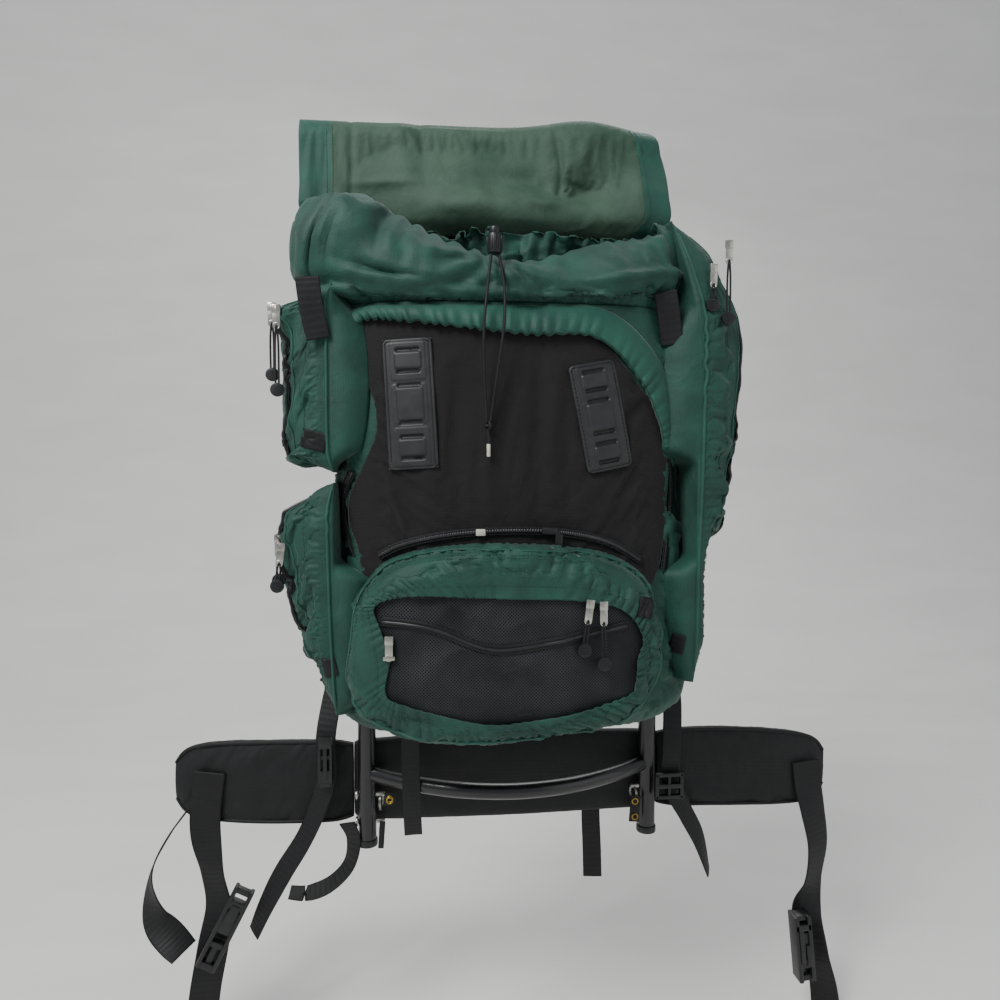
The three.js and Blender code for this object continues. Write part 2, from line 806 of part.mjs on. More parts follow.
function loopReader(rows, across, up) {
  const places = rows.map((row) => point(row[across] * bagWidth, 0, bagBottom + row[up] * bagHeight));
  const curve = new THREE.CatmullRomCurve3(places, true);
  return (u) => curve.getPoint(u - Math.floor(u));
}

const pocketEdge = loopReader(pocketLine, 'across', 'up');
const windowEdge = loopReader(pocketLine, 'windowAcross', 'windowUp');

function pocketMiddle(u, v) {
  const place = pocketEdge(u).lerp(windowEdge(u), readTable(pocketWall, 'inward', v));
  const forward = lowerPocketDepth * readTable(pocketWall, 'forward', v);
  const gather = Math.sin(u * pocketGathers * Math.PI * 2) * pocketGatherDepth * v;
  return onFront(place.x, place.z, forward + gather);
}

function lowerPocket(seats) {
  return cutBy(ringSolid(wallFaces(pocketMiddle, clothWall, true), 24, 3), seats);
}

// The mesh panel closes the window from behind, and bellies out a little.
const meshOverlap = 7;
const meshBelly = 5;

function meshPanel() {
  const rings = 3;
  const middle = point(0, 0, 0);
  for (let i = 0; i < pocketLine.length; i += 1) middle.add(windowEdge(i / pocketLine.length));
  middle.divideScalar(pocketLine.length);
  const place = (u, v, lift) => {
    const edge = windowEdge(u);
    const reach = edge.clone().sub(middle).setLength(meshOverlap);
    const spot = middle.clone().lerp(edge.add(reach), v);
    const belly = meshBelly * (1 - v * v) ** 2;
    return onFront(spot.x, spot.z, lowerPocketDepth - clothWall - 2 + belly + lift);
  };
  const columns = 18;
  const sections = [];
  for (let i = 0; i <= columns; i += 1) {
    const line = [];
    for (let j = 0; j <= rings; j += 1) line.push(place((i % columns) / columns, j / rings, 0));
    for (let j = rings; j >= 0; j -= 1) line.push(place((i % columns) / columns, j / rings, -1));
    sections.push(line);
  }
  return solidOf(new LoftGeometry(sections, { closed: false }));
}

// Side pockets: bowls that are open against the bag's side.
const upperPocket = table(['at', 'out', 'half'], [
  [0.00, 0.30, 0.80],
  [0.08, 0.72, 0.92],
  [0.25, 0.84, 1.00],
  [0.50, 0.80, 1.00],
  [0.75, 0.84, 0.98],
  [0.92, 1.00, 0.90],
  [1.00, 0.86, 0.75],
]);
const lowerSidePocket = table(['at', 'out', 'half'], [
  [0.00, 0.05, 0.80],
  [0.20, 0.34, 0.92],
  [0.42, 0.62, 1.00],
  [0.65, 0.84, 1.00],
  [0.82, 0.94, 0.98],
  [0.94, 0.80, 0.88],
  [1.00, 0.40, 0.80],
]);
const longPocket = table(['at', 'out', 'half'], [
  [0.00, 0.14, 0.85],
  [0.10, 0.26, 0.95],
  [0.26, 0.26, 1.00],
  [0.39, 0.62, 1.00],
  [0.47, 0.80, 1.00],
  [0.66, 1.00, 1.00],
  [0.78, 1.00, 0.95],
  [0.90, 0.74, 0.80],
  [0.97, 0.66, 0.60],
  [1.00, 0.24, 0.50],
]);
const pocketFolds = table(['across', 'up', 'wide', 'tall', 'depth'], [
  [0.35, 0.50, 0.06, 0.35, 4],
  [0.62, 0.60, 0.07, 0.30, 5],
  [0.50, 0.20, 0.20, 0.06, 3],
  [0.45, 0.80, 0.20, 0.05, 3],
]);

function sidePocket({ side, rows, bottom, top, lean }, seats) {
  const middle = (u, v) => {
    const angle = u * Math.PI;
    const z = bagBottom + bagHeight * THREE.MathUtils.lerp(bottom, top, v);
    const half = sidePocketHalf * readTable(rows, 'half', v);
    const close = Math.min(1, Math.sin(Math.PI * THREE.MathUtils.clamp(v, 0.001, 0.999)) * 3.2) ** 0.6;
    const out = sidePocketDepth * readTable(rows, 'out', v) * close * Math.sin(angle) ** 0.7;
    const fold = readFolds(pocketFolds, u, v) * Math.sin(angle);
    const seatX = bagWidth / 2 - 12 - lean * Math.max(0, z - bagTop);
    const y = sidePocketMiddle - side * half * signedPower(Math.cos(angle), 0.8);
    return point(side * (seatX + 6 + out - fold) - frontSkew / 2, y, z);
  };
  return cutBy(sheetSolid(wallFaces(middle, clothWall), 6, 7), seats);
}

const sidePockets = table(['name', 'side', 'rows', 'bottom', 'top', 'lean'], [
  ['side_pocket_upper_left', -1, upperPocket, 0.6144, 1.0414, 0],
  ['side_pocket_lower_left', -1, lowerSidePocket, 0.0523, 0.5904, 0],
  ['side_pocket_right', 1, longPocket, 0.1068, 1.2135, 0.25],
]);

// Frame tubes, bars and plugs.
const cornerStart = frameHeight - topCornerRadius;
const tubeFoot = plugHeight + clearance;

function straight(from, to) {
  return new THREE.LineCurve3(from, to);
}

function tubeCurve(side) {
  return straight(point(side * halfSpacing, 0, tubeFoot), point(side * halfSpacing, 0, cornerStart - clearance));
}

// The top bar is one tube that rounds both corners and stands on the side tubes.
function topBar() {
  const cornerSteps = 4;
  const corner = (side, share) => {
    const bend = (share * Math.PI) / 2;
    const x = side * (halfSpacing - topCornerRadius * (1 - Math.cos(bend)));
    const middle = point(x, 0, cornerStart + topCornerRadius * Math.sin(bend));
    return { middle, out: point(side * Math.cos(bend), 0, Math.sin(bend)) };
  };
  const stations = [];
  for (let i = 0; i <= cornerSteps; i += 1) stations.push(corner(-1, i / cornerSteps));
  for (let i = cornerSteps; i >= 0; i -= 1) stations.push(corner(1, i / cornerSteps));
  return loftSolid(stations.map(({ middle, out }) => {
    const ring = [];
    for (let k = 0; k < tubeSides; k += 1) {
      const angle = (k / tubeSides) * Math.PI * 2;
      const spot = middle.clone().addScaledVector(out, tubeRadius * Math.cos(angle));
      ring.push(spot.add(point(0, tubeRadius * Math.sin(angle), 0)));
    }
    return ring;
  }));
}

const barReach = halfSpacing - tubeRadius / 2;

function barY(x, bow) {
  return -bow * (1 - (x / barReach) ** 2);
}

// A crossbar bows away from the wearer and is coped to the side tubes.
function barRoute(height, bow) {
  return [-1, -0.75, -0.4, 0, 0.4, 0.75, 1].map((share) => {
    const x = share * barReach;
    return [x, barY(x, bow), height];
  });
}

function crossbar(height, bow, tubeSeats) {
  const route = barRoute(height, bow);
  return cutBy(barTube(route, 0), tubeSeats);
}

function barTube(route, swell) {
  return tubeSolid(smoothCurve(route), barDiameter / 2 + swell, route.length, { sides: barSides });
}

function footPlug(side) {
  const bore = tubeRadius - tubeWall - clearance;
  const profile = [
    [0, 0],
    [plugDiameter / 2 - 1.5, 0],
    [plugDiameter / 2, 1.5],
    [plugDiameter / 2, plugHeight],
    [bore * 0.97, plugHeight],
    [bore * 0.97, plugHeight + plugSpigot],
    [0, plugHeight + plugSpigot],
  ].map(([r, z]) => new THREE.Vector2(r, z));
  const plug = new THREE.LatheGeometry(profile, 12);
  plug.rotateX(Math.PI / 2);
  plug.translate(side * halfSpacing, 0, 0);
  return solidOf(plug);
}

// Clevis pins cross the tubes; a split ring through each pin's end holds it.
const pins = table(['name', 'side', 'height'], [
  ['belt_pin_left_upper', -1, 64],
  ['belt_pin_left_lower', -1, 30],
  ['belt_pin_right_upper', 1, 60],
  ['bag_pin_left', -1, 222],
  ['bag_pin_right', 1, 222],
]);

function pinSolid(pin, swell) {
  const inward = -pin.side;
  const length = tubeDiameter + pinReach + 2;
  const start = pin.side * (halfSpacing + tubeRadius + 0.6);
  const middle = point(start + (inward * length) / 2, 0, pin.height);
  const shank = roundBar(pinDiameter / 2 + swell, length, 6, middle, [0, 0, Math.PI / 2]);
  const headMiddle = point(start + pin.side * (pinHeadHeight / 2 - 0.1), 0, pin.height);
  const head = roundBar(pinHeadDiameter / 2 + swell, pinHeadHeight + 2 * swell, 8, headMiddle, [0, 0, Math.PI / 2]);
  return joined([shank, head]);
}

function pinWithRing(pin) {
  const ring = new THREE.TorusGeometry(ringDiameter / 2, ringWire / 2, 3, 9);
  ring.rotateY(Math.PI / 2);
  const x = pin.side * (halfSpacing - tubeRadius - pinReach + 3);
  ring.translate(x, 0, pin.height - ringDiameter / 2);
  return joined([pinSolid(pin, 0), solidOf(ring)]);
}

// The lumbar pad and the two belt wings.
const padStations = table(['at', 'height', 'thickness'], [
  [0.00, 0.86, 0.62],
  [0.02, 0.94, 1.00],
  [0.25, 1.00, 1.00],
  [0.50, 1.02, 1.00],
  [0.75, 1.00, 1.00],
  [0.98, 0.94, 1.00],
  [1.00, 0.86, 0.62],
]);

function lumbarPad() {
  return paddedSolid(padStations.map((row) => ({
    middle: point((row.at - 0.5) * padWidth, padFace - (padThickness * row.thickness) / 2, padMiddle),
    across: point(0, 0, 1),
    out: point(0, 1, 0),
    width: padHeight * row.height,
    thickness: padThickness * row.thickness,
  })));
}

const wingStations = table(['at', 'height', 'thickness', 'drop'], [
  [0.00, 0.90, 0.70, 0.00],
  [0.10, 0.98, 0.95, 0.00],
  [0.30, 1.00, 1.00, 0.10],
  [0.50, 1.00, 1.00, 0.30],
  [0.70, 0.97, 1.00, 0.60],
  [0.85, 0.90, 0.92, 0.85],
  [0.94, 0.76, 0.76, 0.95],
  [1.00, 0.46, 0.46, 1.00],
]);

function wingMiddle(side, share) {
  const length = side < 0 ? wingLeftLength : wingRightLength;
  const x = side * (padWidth / 2 + clearance + length * share);
  const droop = side < 0 ? -3 : 14;
  return point(x, padMidY + wingSweep * share * share, padMiddle - droop * readTable(wingStations, 'drop', share));
}

function hipWing(side) {
  return paddedSolid(wingStations.map((row) => ({
    middle: wingMiddle(side, row.at),
    across: point(0, 0, side),
    out: point(0, 1, 0),
    width: wingHeight * row.height,
    thickness: wingThickness * row.thickness,
  })));
}

// Padded shoulder straps on the wearer's side, from the upper bar down to their webbing.
const strapStart = 52;
const strapSeatY = barY(strapStart, innerBarBow) + barDiameter / 2;

const shoulderRoute = table(['at', 'x', 'y', 'z', 'width'], [
  [0.00, strapStart, strapSeatY, upperBarHeight, 0.70],
  [0.10, 60, 44, 652, 0.86],
  [0.25, 76, 84, 600, 1.00],
  [0.45, 104, 112, 500, 1.00],
  [0.65, 142, 108, 390, 1.00],
  [0.82, 182, 76, 290, 0.90],
  [1.00, 212, 40, 214, 0.50],
]);

function shoulderStrap(side) {
  const places = shoulderRoute.map((row) => [side * row.x, row.y, row.z]);
  const curve = smoothCurve(places);
  const count = 9;
  const stations = [];
  for (let i = 0; i <= count; i += 1) {
    const t = i / count;
    const along = curve.getTangent(t);
    const across = point(1, 0, 0).addScaledVector(along, -along.x).normalize();
    const ends = Math.min(1, 0.45 + 6 * Math.min(t, 1 - t));
    stations.push({
      middle: curve.getPoint(t),
      across,
      out: across.clone().cross(along).negate(),
      width: shoulderWidth * readTable(shoulderRoute, 'width', t),
      thickness: shoulderThickness * ends,
    });
  }
  const barSeat = barTube(barRoute(upperBarHeight, innerBarBow), clearance);
  return cutBy(paddedSolid(stations, strapCorners), [barSeat]);
}

function strapEnd(side, past) {
  const [before, last] = shoulderRoute.slice(-2);
  const end = point(side * last.x, last.y, last.z);
  const along = end.clone().sub(point(side * before.x, before.y, before.z)).normalize();
  return end.addScaledVector(along, past);
}

const strapGap = 5;
const strapUp = [0, 1, 2];

// The bottom lash strap passes just in front of the lower bar.
const lashFront = barY(-112, lowerBarBow) - barDiameter / 2 - webbingWall - 4 * clearance;

// Webbing routes: x, y, z and the turn of the width in degrees, chosen by hand.
const webbings = [
  { name: 'belt_webbing_left', width: beltWebbing, steps: 17, route: [
    [-372, 13, 92, 0],
    [-378, 12, 46, 0],
    [-378, 12, 10, 5],
    [-371, 11, -35, 30],
    [-363, 8, -80, 20],
    [-371, 6, -130, -10],
    [-380, 4, -180, -20],
    [-386, 2, -232, -15],
  ], carriers: ['hip_wing_left'], toward: [0, 1, 0] },
  { name: 'belt_tail_left', width: beltWebbing, steps: 17, route: [
    [-405, 33, 30, 84],
    [-424, 28, 4, 84],
    [-441, 20, -30, 78],
    [-444, 14, -62, 55],
    [-436, 6, -92, 20],
    [-416, -2, -112, -15],
    [-399, -9, -126, -40],
  ], carriers: ['hip_wing_left'], toward: [0, 0, 1] },
  { name: 'belt_webbing_right', width: beltWebbing, steps: 14, route: [
    [404, 15, 74, 0],
    [408, 14, 40, 0],
    [414, 12, 8, -12],
    [421, 10, -40, -24],
    [414, 8, -90, -28],
    [405, 6, -130, 20],
    [417, 4, -180, 55],
    [428, 2, -226, 50],
    [432, 0, -262, 40],
  ], carriers: ['hip_wing_right'], toward: [0, 1, 0] },
  { name: 'shoulder_webbing_left', width: strapWebbing, steps: 14, route: [
    [...strapEnd(-1, strapGap), 0],
    [-222, 18, 176, 0],
    [-228, -1, 134, 0],
    [-228, -2, 84, 10],
    [-238, -2, 48, 24],
    [-256, -2, 8, 32],
    [-282, -2, -34, 20],
    [-303, -2, -74, 40],
    [-318, -2, -108, 55],
  ], carriers: ['shoulder_strap_left'], toward: strapUp },
  { name: 'shoulder_tail_left', width: strapWebbing, steps: 16, route: [
    [-205, -2, 30, 30],
    [-197, -2, 8, 42],
    [-203, -4, -22, 58],
    [-225, -6, -44, 64],
    [-252, -6, -54, 74],
    [-275, -6, -52, 82],
  ], carriers: ['frame_tube_left', 'foot_plug_left', 'belt_pin_left_lower'], toward: [1, 0, 0] },
  { name: 'shoulder_webbing_right', width: strapWebbing, steps: 17, route: [
    [...strapEnd(1, strapGap), 0],
    [215, 12, 168, 0],
    [208, -10, 110, 0],
    [207, -12, 66, -6],
    [228, -8, 24, -30],
    [248, -2, -14, -40],
    [262, -2, -60, -66],
  ], carriers: ['shoulder_strap_right'], toward: strapUp },
  { name: 'top_strap_left', width: strapWebbing, steps: 6, route: [
    [-0.557 * bagWidth, -1.04 * bagDepth, bagTop + 21, -8],
    [-0.547 * bagWidth, -1.04 * bagDepth, bagTop - 9, -8],
    [-0.530 * bagWidth, -1.03 * bagDepth, bagTop - 41, -14],
  ], carriers: ['side_pocket_upper_left', 'collar'], toward: [0, 1, 0] },
  { name: 'top_strap_right', width: strapWebbing, steps: 6, route: [
    [0.378 * bagWidth, -1.02 * bagDepth, bagTop + 17, 12],
    [0.391 * bagWidth, -1.00 * bagDepth, bagTop - 9, 16],
    [0.405 * bagWidth, -0.97 * bagDepth, bagTop - 39, 20],
  ], carriers: ['main_bag', 'collar', 'rain_flap'], toward: [0, 1, 0] },
  { name: 'bottom_lash_strap', width: 22, steps: 8, route: [
    [-124, lashFront, bagBottom - 3, 0],
    [-124, lashFront, lowerBarHeight + 40, 0],
    [-123, lashFront, lowerBarHeight, 0],
    [-122, lashFront + 3, lowerBarHeight - 34, 0],
    [-121, lashFront + 9, lowerBarHeight - 60, 0],
  ], carriers: ['crossbar_lower', 'main_bag'], toward: [0, 1, 0] },
  { name: 'lumbar_tail', width: strapWebbing, steps: 6, route: [
    [112, 40, 40, 0],
    [112, 38, 6, 0],
    [113, 35, -30, 6],
    [114, 34, -72, 10],
  ], carriers: ['lumbar_pad'], toward: [0, -1, 0] },
];

// A place given in shares of the bag's width, depth and height.
function byBag({ across, ahead, up }) {
  return point(across * bagWidth, -ahead * bagDepth, bagBottom + up * bagHeight);
}

// Buckles, plain and generic.
const buckles = table(['name', 'carrier', 'x', 'y', 'z', 'length', 'width', 'thickness', 'turn'], [
  ['belt_buckle_left', 'belt_webbing_left', -352, -16, -96, 112, 26, 15, 27],
  ['belt_buckle_right', 'belt_webbing_right', 392, -16, -166, 92, 24, 26, -6],
  ['slide_buckle_left', 'shoulder_webbing_left', -228, -14, 110, 62, 18, 8, 0],
  ['ladder_buckle_right', 'shoulder_webbing_right', 202, -21, 66, 34, 38, 8, 0],
]);

function buckle(row) {
  const turn = [0, THREE.MathUtils.degToRad(row.turn), 0];
  const place = point(row.x, row.y, row.z);
  const body = boxSolid(row.width, row.thickness, row.length, place, turn);
  const tilt = THREE.MathUtils.degToRad(row.turn);
  const slots = [-0.26, 0.26].map((share) => {
    const along = share * row.length;
    const spot = point(row.x + along * Math.sin(tilt), row.y, row.z + along * Math.cos(tilt));
    return boxSolid(row.width * 0.66, row.thickness * 2, row.length * 0.2, spot, turn);
  });
  return cutBy(body, slots);
}

// Zip sliders with their tabs, pull loops and ribbed buttons, each as one hanging piece.
const inward = [0, 1, 0];
const rightward = [1, 0, 0];
const pulls = table(['name', 'carrier', 'toward', 'across', 'ahead', 'up', 'drop', 'lean', 'button'], [
  ['mesh_pull', 'lower_pocket', inward, -0.356, 1.424, 0.259, 30, 0, 0],
  ['pocket_pull_left', 'lower_pocket', inward, 0.149, 1.430, 0.336, 42, -7, 1],
  ['pocket_pull_right', 'lower_pocket', inward, 0.182, 1.430, 0.331, 54, 1, 1],
  ['upper_side_pull_front', 'side_pocket_upper_left', rightward, -0.699, 0.722, 1.007, 66, 0, 1],
  ['upper_side_pull_rear', 'side_pocket_upper_left', rightward, -0.682, 0.875, 0.994, 78, 0, 1],
  ['lower_side_pull_front', 'side_pocket_lower_left', rightward, -0.677, 0.778, 0.471, 40, 0, 1],
  ['lower_side_pull_rear', 'side_pocket_lower_left', rightward, -0.652, 0.875, 0.453, 36, -6, 1],
  ['long_pull_upper', 'side_pocket_right', inward, 0.552, 1.056, 1.159, 74, 0, 1],
  ['long_pull_lower', 'side_pocket_right', inward, 0.510, 1.056, 1.102, 34, -2, 1],
]);

function pull(row) {
  const lean = THREE.MathUtils.degToRad(row.lean);
  const top = byBag(row);
  const down = (length) => point(
    top.x + Math.sin(lean) * length,
    top.y,
    top.z - Math.cos(lean) * length,
  );
  const turn = [0, -lean, 0];
  const tab = boxSolid(7, 3, pullTab, down(pullTab / 2), turn);
  if (!row.button) return joined([tab, boxSolid(12, 3, 5, down(pullTab), turn)]);
  const end = row.drop + pullButton / 2;
  const loop = boxSolid(4, 2.2, end - pullTab + 4, down((end + pullTab) / 2 - 2), turn);
  const button = roundBar(pullButton / 2, 5, 10, down(end + 2), [0, 0, 0]);
  return joined([tab, loop, button]);
}

// The drawstring hangs from its lock as two strands that meet in a knot.
const drawstringLeft = [
  [-38, -162, 688],
  [-42, -166, 655],
  [-46, -172, 618],
  [-46, -168, 575],
  [-42.8, -163.3, 518.7],
];
const drawstringRight = [
  [-30, -162, 688],
  [-25, -166, 655],
  [-26, -172, 615],
  [-32, -168, 570],
  [-39.2, -163.3, 518.7],
];
const lockPlace = byBag({ across: -0.085, ahead: 1.118, up: 1.1232 });
const knotPlace = point(-41, -163.5, 514);

function cordTube(route) {
  const curve = smoothCurve(route);
  const steps = Math.round(curve.getLength() / (3 * cordDiameter));
  return tubeSolid(curve, cordDiameter / 2, steps, { sides: 8 });
}

function cordLock() {
  const barrel = roundBar(lockDiameter / 2, lockHeight, 12, lockPlace, [Math.PI / 2, 0, 0]);
  const button = roundBar(lockDiameter / 3, 8, 10, lockPlace.clone().add(point(0, 0, lockHeight / 2 + 3)));
  return joined([barrel, button]);
}

function drawstringKnot() {
  const knot = new THREE.SphereGeometry(knotDiameter / 2, 8, 6);
  knot.translate(knotPlace.x, knotPlace.y, knotPlace.z);
  const tail = roundBar(cordDiameter / 2, tipLength + 6, 8, knotPlace.clone().sub(point(0, 0, 12)));
  return joined([solidOf(knot), tail]);
}

// The assembly
const model = new THREE.Group();
const built = new Map();

function addPiece(name, solid, color, roughness = 0.85, metalness = 0) {
  const material = new THREE.MeshStandardMaterial({ color, roughness, metalness });
  const mesh = new THREE.Mesh(geometryOf(solid), material);
  mesh.name = name;
  model.add(mesh);
  built.set(name, solid);
}

function pieces(...names) {
  return names.map((name) => built.get(name));
}

const sides = [[-1, 'left'], [1, 'right']];
const pinHoles = pins.map((pin) => pinSolid(pin, clearance));
const tubeSeats = sides.map(([side]) => tubeSolid(tubeCurve(side), tubeRadius + clearance, 1));
const bagSeat = bagFill(clearance);
const frontSeats = [bagSeat, doorSeat()];
const sideSeats = [bagSeat, collarFill()];

for (const [side, word] of sides) {
  const tube = tubeSolid(tubeCurve(side), tubeRadius, 1, { bore: tubeRadius - tubeWall });
  addPiece(`frame_tube_${word}`, cutBy(tube, pinHoles), black, 0.4, 0.3);
  addPiece(`foot_plug_${word}`, footPlug(side), plastic, 0.7);
}
addPiece('top_bar', topBar(), black, 0.4, 0.3);
addPiece('crossbar_lower', crossbar(lowerBarHeight, lowerBarBow, tubeSeats), black, 0.4, 0.3);
addPiece('crossbar_middle', crossbar(middleBarHeight, innerBarBow, tubeSeats), black, 0.4, 0.3);
addPiece('crossbar_upper', crossbar(upperBarHeight, innerBarBow, tubeSeats), black, 0.4, 0.3);
for (const pin of pins) addPiece(pin.name, pinWithRing(pin), metal, 0.35, 1);

addPiece('lumbar_pad', lumbarPad(), black);
for (const [side, word] of sides) {
  addPiece(`hip_wing_${word}`, hipWing(side), black);
  addPiece(`shoulder_strap_${word}`, shoulderStrap(side), black);
}

addPiece('main_bag', mainBag(), green);
addPiece('collar', collar(tubeSeats), green);
addPiece('lid_flap', seated(lidFlap(), pieces('top_bar', 'collar'), [0, 0, -1]), coated);
addPiece('front_door', frontDoor(), black, 0.95);
addPiece('rain_flap', rainFlap(frontSeats), green);
for (const patch of patches) addPiece(patch.name, lashPatch(patch), plastic, 0.6);
addPiece('door_zip_left', zipStrip(leftZipLine, clearance, clearance + zipWall), plastic);
addPiece('door_zip_right', zipStrip(rightZipLine, clearance, clearance + zipWall), plastic);
addPiece('pocket_zip', zipStrip(pocketZipLine, overDoor, overDoor + zipWall), plastic);
addPiece('lower_pocket', lowerPocket(frontSeats), green);
addPiece('mesh_panel', seated(meshPanel(), pieces('lower_pocket'), [0, -1, 0]), black, 0.95);
for (const row of sidePockets) addPiece(row.name, sidePocket(row, sideSeats), green);

for (const { name, width, steps, route, carriers, toward } of webbings) {
  const strap = strapSolid(route, width, webbingWall, steps);
  addPiece(name, carriers ? seated(strap, pieces(...carriers), toward) : strap, black);
}
for (const row of buckles) {
  addPiece(row.name, seated(buckle(row), pieces(row.carrier), [0, 1, 0]), plastic, 0.5);
}
for (const row of pulls) {
  addPiece(row.name, seated(pull(row), pieces(row.carrier), row.toward), metal, 0.4, 0.8);
}
addPiece('cord_lock', seated(cordLock(), pieces('collar'), [0, 1, 0]), plastic, 0.5);
addPiece('drawstring_left', cordTube(drawstringLeft), plastic);
addPiece('drawstring_right', cordTube(drawstringRight), plastic);
addPiece('drawstring_knot', drawstringKnot(), plastic);

// The origin lies at the middle of the lumbar pad's face on the wearer's side.
model.position.set(0, -padFace, -padMiddle);
const backpack = new THREE.Group();
backpack.add(model);

export default backpack;
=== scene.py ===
# %% [markdown]
# # An external frame backpack
# A hiking pack of green nylon packcloth hangs on a black tube frame. Its lid is thrown back over
# the frame's top bar, its collar is gathered on a cord, and its belt and straps hang free.
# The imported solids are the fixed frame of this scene. Each soft piece is made again here as cloth,
# in the place that its solid holds, and each hard piece gets its round edges and its finish.

# %% Load the frame and open the toolbox
import math

import bmesh
import bpy
from mathutils import Matrix, Vector, noise
from mathutils.bvhtree import BVHTree


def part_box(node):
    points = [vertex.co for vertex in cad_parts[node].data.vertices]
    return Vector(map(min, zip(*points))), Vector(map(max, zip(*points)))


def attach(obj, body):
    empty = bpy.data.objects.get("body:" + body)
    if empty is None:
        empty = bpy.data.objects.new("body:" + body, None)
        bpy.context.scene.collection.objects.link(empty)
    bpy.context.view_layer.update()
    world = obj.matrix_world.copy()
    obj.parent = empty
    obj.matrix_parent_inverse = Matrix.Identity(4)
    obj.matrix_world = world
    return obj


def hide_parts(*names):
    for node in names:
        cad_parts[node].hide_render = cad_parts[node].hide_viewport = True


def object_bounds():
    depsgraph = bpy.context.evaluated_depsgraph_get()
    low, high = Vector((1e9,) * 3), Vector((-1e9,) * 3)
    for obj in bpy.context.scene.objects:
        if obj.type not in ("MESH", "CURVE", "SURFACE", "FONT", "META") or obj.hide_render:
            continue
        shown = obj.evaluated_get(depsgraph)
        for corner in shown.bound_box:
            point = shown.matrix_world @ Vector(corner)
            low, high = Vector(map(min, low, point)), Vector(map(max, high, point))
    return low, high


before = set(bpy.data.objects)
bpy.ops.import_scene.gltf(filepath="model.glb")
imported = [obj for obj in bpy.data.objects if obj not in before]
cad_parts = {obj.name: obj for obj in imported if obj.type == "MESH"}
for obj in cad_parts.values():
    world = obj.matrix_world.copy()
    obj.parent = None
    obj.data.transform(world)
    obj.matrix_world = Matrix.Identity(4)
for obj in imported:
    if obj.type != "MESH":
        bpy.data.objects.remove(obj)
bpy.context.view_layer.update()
print("nodes:", len(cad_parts))

# %% [markdown]
# ## Sizes and places
# The sizes are in millimetres above the frame's feet, as a maker would write them. One function
# turns such a place into the model's frame, whose origin is the middle of the lumbar pad's face.

# %% Sizes
MM = 0.001
PAD_FACE = 33.3
PAD_MIDDLE = 75
FRAME_HEIGHT = 862
HALF_SPACING = 178
TUBE_RADIUS = 11
CORNER_RADIUS = 62
BAR_RADIUS = 9.5
BAG_WIDTH = 402
BAG_BOTTOM = 184
BAG_HEIGHT = 459
BAG_DEPTH = 144
BAG_TOP = BAG_BOTTOM + BAG_HEIGHT
BAG_BACK = -(TUBE_RADIUS + 0.3)
BACK_CORNER = 34
BACK_HOLLOW = 28
FRONT_SKEW = 12


def spot(x, y, z):
    """A place in millimetres above the feet, as a point in the model's frame."""
    return Vector((x, y - PAD_FACE, z - PAD_MIDDLE)) * MM


def table(columns, rows):
    """Rows of numbers under named columns."""
    names = columns.split()
    return [dict(zip(names, row)) for row in rows]


def read(rows, column, place):
    """One column of a table at a place between its rows, along a smooth curve."""
    last = len(rows) - 1
    place = min(max(place, rows[0]["at"]), rows[last]["at"])
    i = 0
    while i < last - 1 and place > rows[i + 1]["at"]:
        i += 1

    def slope(k):
        before, after = rows[max(k - 1, 0)], rows[min(k + 1, last)]
        return (after[column] - before[column]) / (after["at"] - before["at"])

    span = rows[i + 1]["at"] - rows[i]["at"]
    t = (place - rows[i]["at"]) / span
    ease = t * t * (3 - 2 * t)
    start = slope(i) * span * (t * t * t - 2 * t * t + t)
    end = slope(i + 1) * span * (t * t * t - t * t)
    return rows[i][column] * (1 - ease) + rows[i + 1][column] * ease + start + end


def folds_at(folds, across, up):
    """The sum of soft dents and humps at a place on a cloth."""
    depth = 0
    for fold in folds:
        a = (across - fold["across"]) / fold["wide"]
        b = (up - fold["up"]) / fold["tall"]
        depth += fold["depth"] * math.exp(-a * a - b * b)
    return depth


def step_up(value, low, high):
    """0 below low, 1 above high, and smooth between."""
    t = min(max((value - low) / (high - low), 0), 1)
    return t * t * (3 - 2 * t)


def crumple(x, y, z, size, seed=0.0):
    """Sharp little ridges of worn nylon, from -1 to 1, about size millimetres apart."""
    wave = noise.noise(Vector((x / size + seed, y / size, z / size)))
    return 1 - 4 * abs(wave)


def gathers(u, count, seed=0.0):
    """Uneven pleats along a seam, from -1 to 1: about count of them, some high and some low."""
    angle = 2 * math.pi * u
    ring = Vector((math.cos(angle), math.sin(angle), 0)) * count
    drift = noise.noise(ring * 0.09 + Vector((seed, 0, 3.1)))
    height = noise.noise(ring * 0.07 + Vector((0, seed, 7.7)))
    return math.sin(count * angle + 3.5 * drift) * (0.6 + 0.9 * height)


# %% [markdown]
# ## The camera
# The photograph was taken from a little left of the pack's middle at about half its height,
# looking slightly down. The frame's square corners gave the camera's distance and lens.

# %% Camera
camera_data = bpy.data.cameras.new("camera")
camera_data.lens = 28.08
camera_data.sensor_width = 36
camera = bpy.data.objects.new("camera", camera_data)
camera.location = spot(-113.3, -963.4, 478)
camera.rotation_euler = (math.radians(87.14), 0, math.radians(-6))
bpy.context.scene.collection.objects.link(camera)
bpy.context.scene.camera = camera
print("camera at", [round(value, 3) for value in camera.location])

# %% [markdown]
# ## A small kit for materials
# Every finish is built from shader nodes. One function adds a node with its settings and links,
# and one turns the hex colours of a paint chart into the linear colours that light works with.


# %% Material kit
def linear(code):
    """A hex colour of the screen as linear red, green and blue."""
    parts = [int(code[i : i + 2], 16) / 255 for i in (1, 3, 5)]
    return [p / 12.92 if p <= 0.04045 else ((p + 0.055) / 1.055) ** 2.4 for p in parts] + [1]


